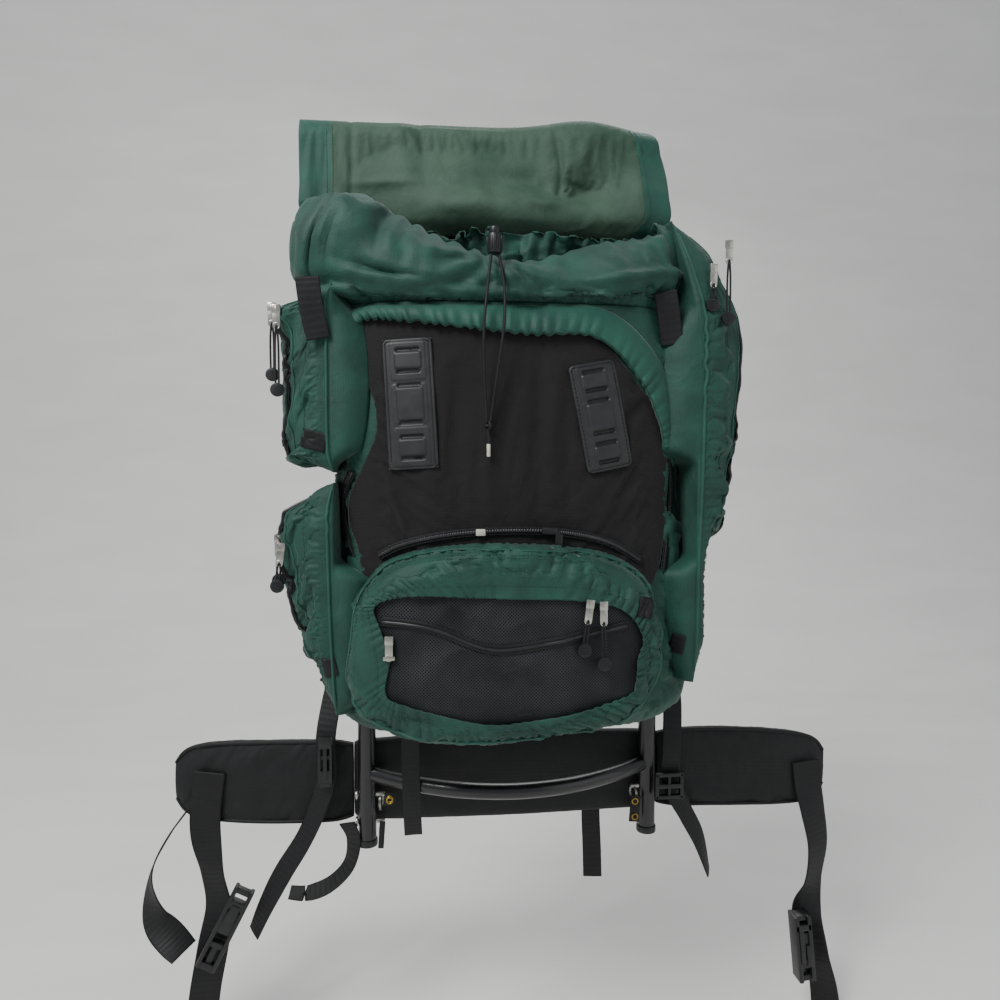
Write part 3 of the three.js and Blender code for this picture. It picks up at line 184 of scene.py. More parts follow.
def add(tree, kind, inputs=None, **settings):
    """Adds a shader node: its settings by name, its inputs as values or as links."""
    node = tree.nodes.new("ShaderNode" + kind)
    for name, value in settings.items():
        setattr(node, name, value)
    for name, value in (inputs or {}).items():
        if isinstance(value, bpy.types.NodeSocket):
            tree.links.new(value, node.inputs[name])
        else:
            node.inputs[name].default_value = value
    return node


def new_material(name):
    """An empty material, its node tree and its shader."""
    material = bpy.data.materials.new(name)
    material.use_nodes = True
    tree = material.node_tree
    tree.nodes.clear()
    shader = add(tree, "BsdfPrincipled")
    add(tree, "OutputMaterial", {"Surface": shader.outputs["BSDF"]})
    return material, tree, shader


def ramp(tree, value, low, high, low_at=0.3, high_at=0.7):
    """A colour that runs from low to high as a value rises."""
    node = add(tree, "ValToRGB", {"Fac": value})
    node.color_ramp.elements[0].position = low_at
    node.color_ramp.elements[0].color = low
    node.color_ramp.elements[1].position = high_at
    node.color_ramp.elements[1].color = high
    return node.outputs["Color"]


def wave_scale(pitch):
    """The Wave Texture's scale for bands that repeat every pitch millimetres."""
    return 2 * math.pi / (20 * pitch * MM)


# %% [markdown]
# ## Woven nylon
# Packcloth, coarse pack nylon and webbing are all plain weaves: threads that pass over and under
# each other. Two crossed Wave Textures on the cloth's own UV map, which is in metres, give the
# threads. A real packcloth thread is 0.4 mm, too fine to show here, so it is drawn at 1.3 mm.
# Noise on the object's coordinates adds worn, paler ridges, and creases too fine to model.


# %% Woven cloth
def woven(name, low, high, thread, weave, crease, roughness, sheen=0.0, ribs=False):
    """A plain weave: two colours that vary at random, its thread in millimetres, and painted shade in the
    threads' hollows with a painted highlight on their tops.
    """
    material, tree, shader = new_material(name)
    uv = add(tree, "UVMap", uv_map="cloth").outputs["UV"]
    place = add(tree, "TexCoord").outputs["Object"]
    bands = {"wave_type": "BANDS", "wave_profile": "SIN"}
    scale = {"Vector": uv, "Scale": wave_scale(thread), "Distortion": 0.0}
    warp = add(tree, "TexWave", scale, bands_direction="X", **bands)
    cross = {"Vector": uv, "Scale": wave_scale(thread * (4 if ribs else 1)), "Distortion": 0.0}
    weft = add(tree, "TexWave", cross, bands_direction="Y", **bands)
    threads = add(tree, "Math", {0: warp.outputs["Fac"], 1: weft.outputs["Fac"]}, operation="MULTIPLY")
    wear = add(tree, "TexNoise", {"Vector": place, "Scale": 22.0, "Detail": 5.0, "Roughness": 0.6})
    grain = add(tree, "TexNoise", {"Vector": uv, "Scale": 900.0, "Detail": 2.0})
    fine = {"Vector": place, "Scale": 34.0, "Detail": 4.0, "Roughness": 0.55, "Distortion": 0.6}
    creases = add(tree, "TexNoise", fine)
    broad = {"Vector": place, "Scale": 13.0, "Detail": 3.0, "Roughness": 0.5, "Distortion": 1.4}
    folds = add(tree, "TexNoise", broad, noise_type="RIDGED_MULTIFRACTAL")
    colour = ramp(tree, wear.outputs["Fac"], linear(low), linear(high))
    speck = ramp(tree, grain.outputs["Fac"], [0.72, 0.72, 0.72, 1], [1.18, 1.18, 1.18, 1])
    tint = add(tree, "Mix", {"Factor": 0.7, 6: colour, 7: speck}, data_type="RGBA", blend_type="MULTIPLY")
    # Painted shade and painted highlight at the weave's scale: the threads' hollows are darkened and their
    # tops lightened.
    thread_shade_and_highlight = ramp(tree, threads.outputs[0], [0.80, 0.80, 0.80, 1], [1.1, 1.1, 1.1, 1], 0.0, 0.8)
    both = {"Factor": 0.8, 6: tint.outputs[2], 7: thread_shade_and_highlight}
    cloth = add(tree, "Mix", both, data_type="RGBA", blend_type="MULTIPLY")
    tree.links.new(cloth.outputs[2], shader.inputs["Base Color"])
    rough = {"Value": wear.outputs["Fac"], "To Min": roughness - 0.08, "To Max": roughness + 0.08}
    tree.links.new(add(tree, "MapRange", rough).outputs["Result"], shader.inputs["Roughness"])
    near = {"Height": threads.outputs[0], "Strength": 0.6, "Distance": weave * MM}
    woven_bump = add(tree, "Bump", near)
    far = {"Height": creases.outputs["Fac"], "Strength": 0.8, "Distance": crease * MM}
    far["Normal"] = woven_bump.outputs["Normal"]
    crease_bump = add(tree, "Bump", far)
    widest = {"Height": folds.outputs["Fac"], "Strength": 0.5, "Distance": crease * MM * 1.2}
    widest["Normal"] = crease_bump.outputs["Normal"]
    fold_bump = add(tree, "Bump", widest)
    tree.links.new(fold_bump.outputs["Normal"], shader.inputs["Normal"])
    shader.inputs["Sheen Weight"].default_value = sheen
    shader.inputs["Sheen Roughness"].default_value = 0.4
    shader.inputs["Specular IOR Level"].default_value = 0.4
    return material


# Nylon packcloth, proofed on its inner face: smooth, with a soft sheen on worn ridges.
packcloth = woven("nylon_packcloth", "#0f3a30", "#1f5244", 1.3, 0.25, 2.6, 0.62, sheen=0.12)
# A brighter packcloth, used for the lid's hems, the rain flap, the piping and the green thread.
hem_cloth = woven("packcloth_hem", "#13453a", "#225a4a", 1.3, 0.25, 1.8, 0.6, sheen=0.12)
# The lid's inner face: the same cloth under a dull grey-green proofing.
proofed = woven("proofed_packcloth", "#2d493b", "#46604f", 1.3, 0.12, 2.4, 0.7)
# Coarse textured nylon of the door: thick fuzzy threads, almost no gloss.
coarse_nylon = woven("coarse_textured_nylon", "#0e0d0e", "#1a1819", 1.5, 0.5, 1.6, 0.85, sheen=0.15)
# Nylon webbing: flat ribs across the strap, a little gloss on their tops.
webbing = woven("nylon_webbing", "#08080a", "#131316", 1.6, 0.5, 0.4, 0.6, ribs=True)
# Smooth black nylon over foam.
pad_cloth = woven("nylon_over_foam", "#0a0a0c", "#17181a", 1.2, 0.25, 1.8, 0.68, sheen=0.08)
# Knitted black net.
net_cord = woven("knitted_net", "#222426", "#404346", 1.0, 0.2, 0.2, 0.6)
# Braided black cord.
braid = woven("braided_cord", "#0a0a0c", "#1b1b1e", 1.2, 0.6, 0.1, 0.65)

# %% [markdown]
# ## Hard finishes
# The tubes are enamelled, the plugs and buckles moulded in acetal, the lash patches in a ribbed
# thermoplastic, and the sliders and pins are plated steel. Fine noise breaks up each gloss.


# %% Paint, plastic and plate
def hard(name, low, high, roughness, metallic=0.0, grain=260.0, depth=0.05, coat=0.0, spread=0.08):
    """A hard finish: two close colours, its gloss, and a fine grain in its surface."""
    material, tree, shader = new_material(name)
    place = add(tree, "TexCoord").outputs["Object"]
    wear = add(tree, "TexNoise", {"Vector": place, "Scale": 60.0, "Detail": 6.0, "Roughness": 0.65})
    fine = add(tree, "TexNoise", {"Vector": place, "Scale": grain, "Detail": 3.0})
    colour = ramp(tree, wear.outputs["Fac"], linear(low), linear(high), 0.35, 0.75)
    tree.links.new(colour, shader.inputs["Base Color"])
    rough = {"Value": wear.outputs["Fac"], "To Min": roughness - spread, "To Max": roughness + spread}
    tree.links.new(add(tree, "MapRange", rough).outputs["Result"], shader.inputs["Roughness"])
    bump = add(tree, "Bump", {"Height": fine.outputs["Fac"], "Strength": 0.5, "Distance": depth * MM})
    tree.links.new(bump.outputs["Normal"], shader.inputs["Normal"])
    shader.inputs["Metallic"].default_value = metallic
    shader.inputs["Coat Weight"].default_value = coat
    return material


# Black enamel baked on aluminium tube: glossy, with dull scuffs.
enamel = hard("black_enamel", "#070708", "#121314", 0.32, coat=0.3)
# Acetal buckles and plugs: satin black.
acetal = hard("moulded_acetal", "#0a0b0c", "#18191b", 0.42)
# The lash patches' thermoplastic: dark grey with a leather-like grain.
patch_plastic = hard("grained_thermoplastic", "#1b1c1d", "#292a2b", 0.5, grain=700.0, depth=0.2)
# Zip coils: glossy nylon monofilament.
coil = hard("zip_coil", "#131314", "#29292b", 0.38)
# Nickel-plated sliders, tabs, pins and rings.
nickel = hard("nickel_plate", "#a5a39c", "#d2d0c8", 0.3, metallic=1.0, spread=0.1)
# Brass grommets.
brass = hard("brass", "#8c7335", "#b99b52", 0.35, metallic=1.0)
# The bare, pale plastic of the zip's end stop and the cord's tip.
pale_plastic = hard("pale_plastic", "#b9b6a8", "#dcdacd", 0.45)

# %% [markdown]
# ## Making pieces
# A finished bmesh becomes an object at the origin that rides on the frame's one body. Cloth starts
# as a grid whose points are moved into place, so the weave's UV map comes free and is in metres.


# %% Piece kit
def piece(mesh, name, material, nodes=(), crisp=None):
    """Turns a bmesh into a piece of the backpack. Crisp is the angle of a hard edge in degrees."""
    data = bpy.data.meshes.new(name)
    mesh.to_mesh(data)
    mesh.free()
    data.polygons.foreach_set("use_smooth", [True] * len(data.polygons))
    if crisp is not None:
        data.set_sharp_from_angle(angle=math.radians(crisp))
    made = bpy.data.objects.new(name, data)
    bpy.context.scene.collection.objects.link(made)
    data.materials.append(material)
    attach(made, "root")
    if nodes:
        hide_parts(*nodes)
    return made


def sheet(at, columns, rows, closed=False):
    """A grid of cloth: at(u, v) gives a place in millimetres for shares u across and v up."""
    mesh = bmesh.new()
    uv = mesh.loops.layers.uv.new("cloth")
    bmesh.ops.create_grid(mesh, x_segments=columns, y_segments=rows, size=0.5)
    share = {vert: (vert.co.x + 0.5, vert.co.y + 0.5) for vert in mesh.verts}
    steps = [i / 24 for i in range(25)]
    row = [spot(*at(u, 0.5)) for u in steps]
    column = [spot(*at(0.5, v)) for v in steps]
    wide = sum((b - a).length for a, b in zip(row, row[1:]))
    tall = sum((b - a).length for a, b in zip(column, column[1:]))
    for face in mesh.faces:
        for loop in face.loops:
            u, v = share[loop.vert]
            loop[uv].uv = (u * wide, v * tall)
    for vert, (u, v) in share.items():
        vert.co = spot(*at(u, v))
    if closed:
        bmesh.ops.remove_doubles(mesh, verts=mesh.verts, dist=1e-6)
    return mesh


def thicken(made, wall, offset=-1.0):
    """Gives a cloth its thickness in millimetres."""
    solid = made.modifiers.new("wall", "SOLIDIFY")
    solid.thickness = wall * MM
    solid.offset = offset
    return made


def seat_like(mesh, node):
    """Moves a mesh so that the middle of its box lies where its solid's does."""
    low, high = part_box(node)
    points = [vert.co for vert in mesh.verts]
    own_low = Vector([min(p[i] for p in points) for i in range(3)])
    own_high = Vector([max(p[i] for p in points) for i in range(3)])
    bmesh.ops.translate(mesh, verts=mesh.verts, vec=(low + high - own_low - own_high) / 2)
    return mesh


# %% [markdown]
# ## Wrinkles by cloth simulation
# Nylon on a pack wrinkles because the cloth is longer than the form it is sewn to. The same cause
# is used here: the sewn edges are pinned, the cloth is told to grow by a few hundredths, and it
# buckles by itself. All pieces run in one simulation. No point may move further than its cap.

# %% Wrinkle kit
wrinkled = []


def wrinkle(made, loose, growth, cap, bend=0.4):
    """Queues a cloth: loose(co) is 0 where it is sewn and 1 where it is free."""
    group = made.vertex_groups.new(name="sewn")
    for vert in made.data.vertices:
        group.add([vert.index], 1 - loose(vert.co), "REPLACE")
    wrinkled.append((made, growth, cap, bend))


def run_wrinkles(frames=18):
    """Simulates every queued cloth at once and keeps the result."""
    scene = bpy.context.scene
    scene.frame_start, scene.frame_end = 1, frames
    for made, growth, cap, bend in wrinkled:
        cloth = made.modifiers.new("wrinkles", "CLOTH")
        settings = cloth.settings
        settings.quality = 5
        settings.mass = 0.15
        settings.tension_stiffness = settings.compression_stiffness = 12
        settings.shear_stiffness = 6
        settings.bending_stiffness = bend
        settings.shrink_min = settings.shrink_max = -growth
        settings.vertex_group_mass = "sewn"
        settings.effector_weights.gravity = 0.15
        cloth.point_cache.frame_start = 1
        cloth.point_cache.frame_end = frames
    for step in range(1, frames + 1):
        scene.frame_set(step)
    graph = bpy.context.evaluated_depsgraph_get()
    for made, _, cap, _ in wrinkled:
        moved = made.evaluated_get(graph).data
        places = [vert.co.copy() for vert in moved.vertices]
        made.modifiers.remove(made.modifiers["wrinkles"])
        for vert, place in zip(made.data.vertices, places):
            shift = place - vert.co
            limit = cap * MM
            if shift.length > limit:
                shift *= limit / shift.length
            vert.co += shift
        made.data.update()
        print("wrinkled", made.name, len(places), "points")
    scene.frame_set(1)


# %% [markdown]
# ## Routes and swept forms
# Tubes, cords, straps and pads all follow a route. The route is a short list of given places,
# and a smooth curve runs through them. A section is carried along it, as a sewer would feed
# webbing or a bender would feed tube.


# %% Routes
def along(points, t):
    """A place on a smooth curve through points, at a share t of the way through its rows."""
    place = min(max(t, 0), 1) * (len(points) - 1)
    i = min(int(place), len(points) - 2)
    f = place - i
    before, start = points[max(i - 1, 0)], points[i]
    end, after = points[i + 1], points[min(i + 2, len(points) - 1)]
    columns = zip(before, start, end, after)
    return [
        0.5 * (2 * b + (c - a) * f + (2 * a - 5 * b + 4 * c - d) * f * f + (3 * b - a - 3 * c + d) * f**3)
        for a, b, c, d in columns
    ]


def heading(points, t):
    """The direction of a route at t."""
    ahead = Vector(along(points, min(t + 0.01, 1))[:3])
    behind = Vector(along(points, max(t - 0.01, 0))[:3])
    return (ahead - behind).normalized()


def swept(route, radius, columns, rows):
    """A round rod along a route, its ends rounded off."""

    def at(u, v):
        ahead = heading(route, v)
        side = Vector((0, 1, 0)) if abs(ahead.y) < 0.8 else Vector((1, 0, 0))
        across = (side - ahead * side.dot(ahead)).normalized()
        out = ahead.cross(across)
        end = min(1.0, 12 * min(v, 1 - v) + 0.55)
        angle = 2 * math.pi * u
        rim = across * (math.cos(angle) * radius * end) + out * (math.sin(angle) * radius * end)
        return Vector(along(route, v)[:3]) + rim

    mesh = sheet(at, columns, rows, closed=True)
    return close_ends(mesh)


def close_ends(mesh):
    """Fills the open ends of a swept form."""
    rims = [edge for edge in mesh.edges if edge.is_boundary]
    bmesh.ops.holes_fill(mesh, edges=rims, sides=0)
    bmesh.ops.recalc_face_normals(mesh, faces=mesh.faces)
    return mesh


def joined(meshes):
    """Several meshes as one."""
    whole = bmesh.new()
    for mesh in meshes:
        data = bpy.data.meshes.new("part")
        mesh.to_mesh(data)
        mesh.free()
        whole.from_mesh(data)
        bpy.data.meshes.remove(data)
    return whole


def block(width, depth, height, place, turn=0.0, lean=0.0, bevel=0.8):
    """A block with rounded edges, turned in the front view and leaned about Z, in degrees."""
    mesh = bmesh.new()
    bmesh.ops.create_cube(mesh, size=1)
    bmesh.ops.scale(mesh, vec=Vector((width, depth, height)) * MM, verts=mesh.verts)
    bmesh.ops.bevel(
        mesh, geom=mesh.edges[:], offset=bevel * MM, segments=2, profile=0.5, affect="EDGES", material=-1
    )
    matrix = Matrix.Translation(spot(*place)) @ Matrix.Rotation(math.radians(turn), 4, "Y")
    bmesh.ops.transform(mesh, matrix=matrix @ Matrix.Rotation(math.radians(lean), 4, "Z"), verts=mesh.verts)
    return mesh


def barrel(radius, height, place, axis="Z", sides=24, bevel=0.6):
    """A short round bar with rounded rims."""
    mesh = bmesh.new()
    bmesh.ops.create_cone(
        mesh,
        cap_ends=True,
        segments=sides,
        radius1=radius * MM,
        radius2=radius * MM,
        depth=height * MM,
    )
    rims = [edge for edge in mesh.edges if abs(edge.verts[0].co.z - edge.verts[1].co.z) < 1e-6]
    bmesh.ops.bevel(mesh, geom=rims, offset=bevel * MM, segments=2, profile=0.5, affect="EDGES", material=-1)
    turns = {"X": Matrix.Rotation(math.pi / 2, 4, "Y"), "Y": Matrix.Rotation(-math.pi / 2, 4, "X")}
    matrix = Matrix.Translation(spot(*place)) @ turns.get(axis, Matrix())
    bmesh.ops.transform(mesh, matrix=matrix, verts=mesh.verts)
    return mesh


def ring(radius, wire, place, axis="X", sides=36, flat=1.0, tilt=0.0):
    """A ring of round wire whose middle lies at a place."""
    mesh = bmesh.new()
    bmesh.ops.create_circle(mesh, radius=wire * MM / 2, segments=10)
    bmesh.ops.rotate(mesh, verts=mesh.verts, cent=(0, 0, 0), matrix=Matrix.Rotation(math.pi / 2, 3, "X"))
    bmesh.ops.translate(mesh, verts=mesh.verts, vec=(radius * MM, 0, 0))
    turn = {"cent": (0, 0, 0), "axis": (0, 0, 1), "angle": 2 * math.pi, "steps": sides}
    bmesh.ops.spin(mesh, geom=mesh.edges[:], use_merge=True, **turn)
    bmesh.ops.remove_doubles(mesh, verts=mesh.verts, dist=1e-6)
    bmesh.ops.scale(mesh, vec=(1, flat, 1), verts=mesh.verts)
    turns = {"X": Matrix.Rotation(math.pi / 2, 4, "Y"), "Y": Matrix.Rotation(math.pi / 2, 4, "X")}
    matrix = Matrix.Translation(spot(*place)) @ Matrix.Rotation(math.radians(tilt), 4, "Z")
    bmesh.ops.transform(mesh, matrix=matrix @ turns.get(axis, Matrix()), verts=mesh.verts)
    bmesh.ops.recalc_face_normals(mesh, faces=mesh.faces)
    return mesh


# %% [markdown]
# ## The drawstring
# The collar's drawstring leaves its spring lock as two strands of 3 mm braided cord, which hang
# over the door and meet in an overhand knot. Cords come first, since their route sets the frame.

# %% Drawstring
CORD = 3
STRANDS = {
    "drawstring_left": [(-38, -162, 688), (-42, -166, 655), (-46, -172, 618), (-46, -168, 575)],
    "drawstring_right": [(-30, -162, 688), (-25, -166, 655), (-26, -172, 615), (-32, -168, 570)],
}
STRAND_ENDS = {"drawstring_left": (-42.8, -163.3, 518.7), "drawstring_right": (-39.2, -163.3, 518.7)}
KNOT = (-41, -163.5, 514)

knot_turns = [ring(3.4, CORD, KNOT, axis="X", tilt=30), ring(3.0, CORD, KNOT, axis="Z", flat=0.85)]
tail_route = [(-41, -163.5, 513), (-41.5, -163.8, 507), (-40.4, -163.6, 500), (-41, -163.5, 494)]
knot_tail = swept(tail_route, CORD / 2, 12, 20)
knot_form = joined([*knot_turns, knot_tail])
knot = piece(knot_form, "drawstring_knot_braid", braid, ["drawstring_knot"])
piece(barrel(1.9, 13, (-41, -163.5, 489)), "cord_tip", pale_plastic, crisp=40)

for name, route in STRANDS.items():
    whole = [*route, STRAND_ENDS[name]]
    places = [spot(*along(whole, i / 24)) for i in range(25)]
    data = bpy.data.curves.new(name + "_braid", "CURVE")
    data.dimensions = "3D"
    spline = data.splines.new("POLY")
    spline.points.add(len(places) - 1)
    for knot_point, place in zip(spline.points, places):
        knot_point.co = (*place, 1)
    data.bevel_depth = CORD / 2 * MM
    data.bevel_resolution = 4
    data.use_fill_caps = True
    strand = bpy.data.objects.new(name + "_braid", data)
    bpy.context.scene.collection.objects.link(strand)
    data.materials.append(braid)
    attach(strand, "root")
    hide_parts(name)
    length = sum((b - a).length for a, b in zip(places, places[1:]))
    print(name, "length", round(length, 4))

# %% [markdown]
# ## Stage and light
# A plain pale floor that curves up into a wall, one big soft light from the upper left as in the
# photograph, a weak one from the right, and a pale sky that fills the shadows.

# %% Stage and light
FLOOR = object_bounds()[0][2] - 0.002
stage_mesh = bmesh.new()
bmesh.ops.create_grid(stage_mesh, x_segments=2, y_segments=48, size=0.5)
for vert in stage_mesh.verts:
    run = vert.co.y + 0.5
    bend = 1.1
    if run < 0.55:
        place = (-3.2 + run / 0.55 * 4.4, FLOOR)
    elif run < 0.8:
        angle = (run - 0.55) / 0.25 * math.pi / 2
        place = (1.2 + bend * math.sin(angle), FLOOR + bend * (1 - math.cos(angle)))
    else:
        place = (1.2 + bend, FLOOR + bend + (run - 0.8) / 0.2 * 3.0)
    vert.co = Vector((vert.co.x * 14, *place))
stage_data = bpy.data.meshes.new("studio_sweep")
stage_mesh.to_mesh(stage_data)
stage_mesh.free()
stage_data.polygons.foreach_set("use_smooth", [True] * len(stage_data.polygons))
studio = bpy.data.objects.new("studio_sweep", stage_data)
bpy.context.scene.collection.objects.link(studio)
paper, paper_tree, paper_shader = new_material("pale_paper")
paper_noise = add(paper_tree, "TexNoise", {"Scale": 40.0, "Detail": 2.0})
paper_colour = ramp(paper_tree, paper_noise.outputs["Fac"], linear("#dcdbd8"), linear("#e2e1de"))
paper_tree.links.new(paper_colour, paper_shader.inputs["Base Color"])
paper_shader.inputs["Roughness"].default_value = 0.9
stage_data.materials.append(paper)

world = bpy.data.worlds.new("pale_sky")
bpy.context.scene.world = world
world.use_nodes = True
world.node_tree.nodes["Background"].inputs["Color"].default_value = (0.86, 0.9, 0.94, 1)
world.node_tree.nodes["Background"].inputs["Strength"].default_value = 0.5
LIGHTS = table("name x y z size power", [
    ["window", -1500, -1500, 2500, 1.1, 84],
    ["fill", 1900, -1500, 900, 2.0, 8],
    ["rim", 500, 1500, 2400, 1.4, 26],
])
for row in LIGHTS:
    lamp = bpy.data.lights.new(row["name"], "AREA")
    lamp.size = row["size"]
    lamp.energy = row["power"]
    light = bpy.data.objects.new(row["name"], lamp)
    light.location = spot(row["x"], row["y"], row["z"])
    light.rotation_euler = (spot(0, -60, 430) - light.location).to_track_quat("-Z", "Y").to_euler()
    bpy.context.scene.collection.objects.link(light)
print("lights:", len(LIGHTS))

# %% [markdown]
# ## The frame
# Two side tubes stand on plastic feet, and one bent tube rounds both top corners. A tube bender
# swings the tube round a die, so here a circle is extruded along the straights and spun at bends.


# %% Side tubes and top bar
def upright(side):
    """One side tube, from its foot to the start of its corner."""
    mesh = bmesh.new()
    bmesh.ops.create_circle(mesh, radius=TUBE_RADIUS * MM, segments=40, cap_ends=False)
    bmesh.ops.translate(mesh, verts=mesh.verts, vec=spot(side * HALF_SPACING, 0, 9.3))
    wall = bmesh.ops.extrude_edge_only(mesh, edges=mesh.edges[:])
    top = [item for item in wall["geom"] if isinstance(item, bmesh.types.BMVert)]
    rise = (FRAME_HEIGHT - CORNER_RADIUS - 0.3 - 9.3) * MM
    bmesh.ops.translate(mesh, verts=top, vec=(0, 0, rise))
    return close_ends(mesh)


def bent_top():
    """The top bar: a bend, a straight and a bend."""
    mesh = bmesh.new()
    start = spot(-HALF_SPACING, 0, FRAME_HEIGHT - CORNER_RADIUS)
    bmesh.ops.create_circle(mesh, radius=TUBE_RADIUS * MM, segments=40, cap_ends=False)
    bmesh.ops.translate(mesh, verts=mesh.verts, vec=start)
    live = mesh.edges[:]
    for side in (-1, 1):
        centre = spot(side * (HALF_SPACING - CORNER_RADIUS), 0, FRAME_HEIGHT - CORNER_RADIUS)
        bend = bmesh.ops.spin(
            mesh, geom=live, cent=centre, axis=(0, 1, 0), angle=math.pi / 2, steps=14
        )
        live = [item for item in bend["geom_last"] if isinstance(item, bmesh.types.BMEdge)]
        if side < 0:
            bar = bmesh.ops.extrude_edge_only(mesh, edges=live)
            ends = [item for item in bar["geom"] if isinstance(item, bmesh.types.BMVert)]
            live = [item for item in bar["geom"] if isinstance(item, bmesh.types.BMEdge)]
            live = [edge for edge in live if all(vert in ends for vert in edge.verts)]
            bmesh.ops.translate(mesh, verts=ends, vec=(2 * (HALF_SPACING - CORNER_RADIUS) * MM, 0, 0))
    return close_ends(mesh)


for side, word in ((-1, "left"), (1, "right")):
    piece(upright(side), f"side_tube_{word}", enamel, [f"frame_tube_{word}"], crisp=50)
    foot = barrel(12.5, 9, (side * HALF_SPACING, 0, 4.5), sides=40, bevel=1.4)
    spigot = barrel(8.4, 13.6, (side * HALF_SPACING, 0, 15.9), sides=32)
    piece(joined([foot, spigot]), f"foot_{word}", acetal, [f"foot_plug_{word}"], crisp=40)
piece(bent_top(), "bent_top_bar", enamel, ["top_bar"], crisp=50)

# %% [markdown]
# ## Crossbars
# Each crossbar bows away from the wearer. Its ends stop just inside the side tubes.

# %% Crossbars
REACH = HALF_SPACING - TUBE_RADIUS / 2
CROSSBARS = table("node height bow", [
    ["crossbar_lower", 90, 70],
    ["crossbar_middle", 400, 26],
    ["crossbar_upper", 640, 26],
])


def bar_y(x, bow):
    return -bow * (1 - (x / REACH) ** 2)


for row in CROSSBARS:
    route = [
        (share * (REACH - 4), bar_y(share * (REACH - 4), row["bow"]), row["height"])
        for share in (-1, -0.75, -0.4, 0, 0.4, 0.75, 1)
    ]

    def bar_at(u, v, route=route):
        ahead = heading(route, v)
        out = Vector((0, 0, 1)).cross(ahead).normalized()
        angle = 2 * math.pi * u
        ring_place = out * math.cos(angle) + Vector((0, 0, 1)) * math.sin(angle)
        return Vector(along(route, v)) + ring_place * BAR_RADIUS

    bar = close_ends(sheet(bar_at, 28, 48, closed=True))
    piece(bar, row["node"] + "_tube", enamel, [row["node"]], crisp=50)
print("frame tubes made")

# %% [markdown]
# ## Clevis pins, split rings and keepers
# Steel pins cross the tubes and hold the bag and the belt. A split ring through each pin's end
# keeps it in. The rings are two turns of wire lying on each other.

# %% Pins and rings
PINS = table("node side height", [
    ["belt_pin_left_upper", -1, 64],
    ["belt_pin_left_lower", -1, 30],
    ["belt_pin_right_upper", 1, 60],
    ["bag_pin_left", -1, 222],
    ["bag_pin_right", 1, 222],
])
for row in PINS:
    side = row["side"]
    start = side * (HALF_SPACING + TUBE_RADIUS + 0.6)
    shank = barrel(2.9, 33, (start - side * 16.5, 0, row["height"]), axis="X")
    head = barrel(6, 3, (start + side * 1.4, 0, row["height"]), axis="X", bevel=1)
    ring_x = side * (HALF_SPACING - TUBE_RADIUS - 6)
    turns = [ring(9.6, 1.3, (ring_x + shift, 0, row["height"] - 9.8), tilt=side * 9) for shift in (-0.7, 0.7)]
    pin = joined([shank, head, *turns])
    piece(pin, row["node"] + "_steel", nickel, [row["node"]], crisp=40)
print("pins:", len(PINS))

# %% [markdown]
# ## Belt pads
# The lumbar pad and the two wings are closed-cell foam in black nylon, sewn edge to edge, so each
# section is a flat oval with a narrow seam. The foam is what gives them form, and a few shallow
# dents are pressed into it where the webbing pulls.


# %% Padded forms
def padded_form(middle, width, thickness, columns, rows, puffs=0.4, softness=0.55):
    """A closed form whose soft-cornered section follows middle(v)."""

    def at(u, v):
        place, across, out = middle(v)
        angle = 2 * math.pi * u
        c, s = math.cos(angle), math.sin(angle)
        wide = math.copysign(abs(c) ** softness, c) * width(v) / 2
        thick = math.copysign(abs(s) ** softness, s) * thickness(v) / 2
        puff = puffs * crumple((place.x + wide) * 0.8, thick, place.z * 1.4 + wide, 44, seed=3)
        puff += puffs * 0.5 * crumple(place.x * 1.5 + wide, thick, wide * 0.6, 19, seed=6)
        return place + across * wide + out * (thick + puff)

    return close_ends(sheet(at, columns, rows, closed=True))


PAD_STATIONS = table("at height thickness", [
    [0.00, 0.86, 0.62],
    [0.02, 0.94, 1.00],
    [0.25, 1.00, 1.00],
    [0.50, 1.02, 1.00],
    [0.75, 1.00, 1.00],
    [0.98, 0.94, 1.00],
    [1.00, 0.86, 0.62],
])


def pad_middle(v):
    thick = 22 * read(PAD_STATIONS, "thickness", v)
    place = Vector(((v - 0.5) * 391, PAD_FACE - thick / 2, PAD_MIDDLE))
    return place, Vector((0, 0, 1)), Vector((0, 1, 0))


def pad_thickness(v):
    """The lumbar foam's thickness, less two narrow channels where it is sewn through."""
    channels = sum(abs(v - channel) < 0.012 for channel in (0.36, 0.66))
    return 21 * read(PAD_STATIONS, "thickness", v) - 1.2 * channels


pad = piece(
    padded_form(
        pad_middle,
        lambda v: 107 * read(PAD_STATIONS, "height", v),
        pad_thickness,
        64,
        120,
    ),
    "lumbar_foam",
    pad_cloth,
    ["lumbar_pad"],
)

WING_STATIONS = table("at height thickness drop", [
    [0.00, 0.90, 0.70, 0.00],
    [0.10, 0.98, 0.95, 0.00],
    [0.30, 1.00, 1.00, 0.10],
    [0.50, 1.00, 1.00, 0.30],
    [0.70, 0.97, 1.00, 0.60],
    [0.85, 0.90, 0.92, 0.85],
    [0.94, 0.76, 0.76, 0.95],
    [1.00, 0.46, 0.46, 1.00],
])


def wing_middle(side, v):
    length = 221 if side < 0 else 240
    droop = -3 if side < 0 else 14
    x = side * (196.3 + length * v)
    return Vector((x, 22.3 + 14 * v * v, PAD_MIDDLE - droop * read(WING_STATIONS, "drop", v)))


def wing_thickness(v):
    """A wing's thickness, less the dent that its webbing presses in."""
    dent = 0.12 * math.exp(-(((v - 0.5) / 0.05) ** 2))
    return 17 * read(WING_STATIONS, "thickness", v) * (1 - dent)


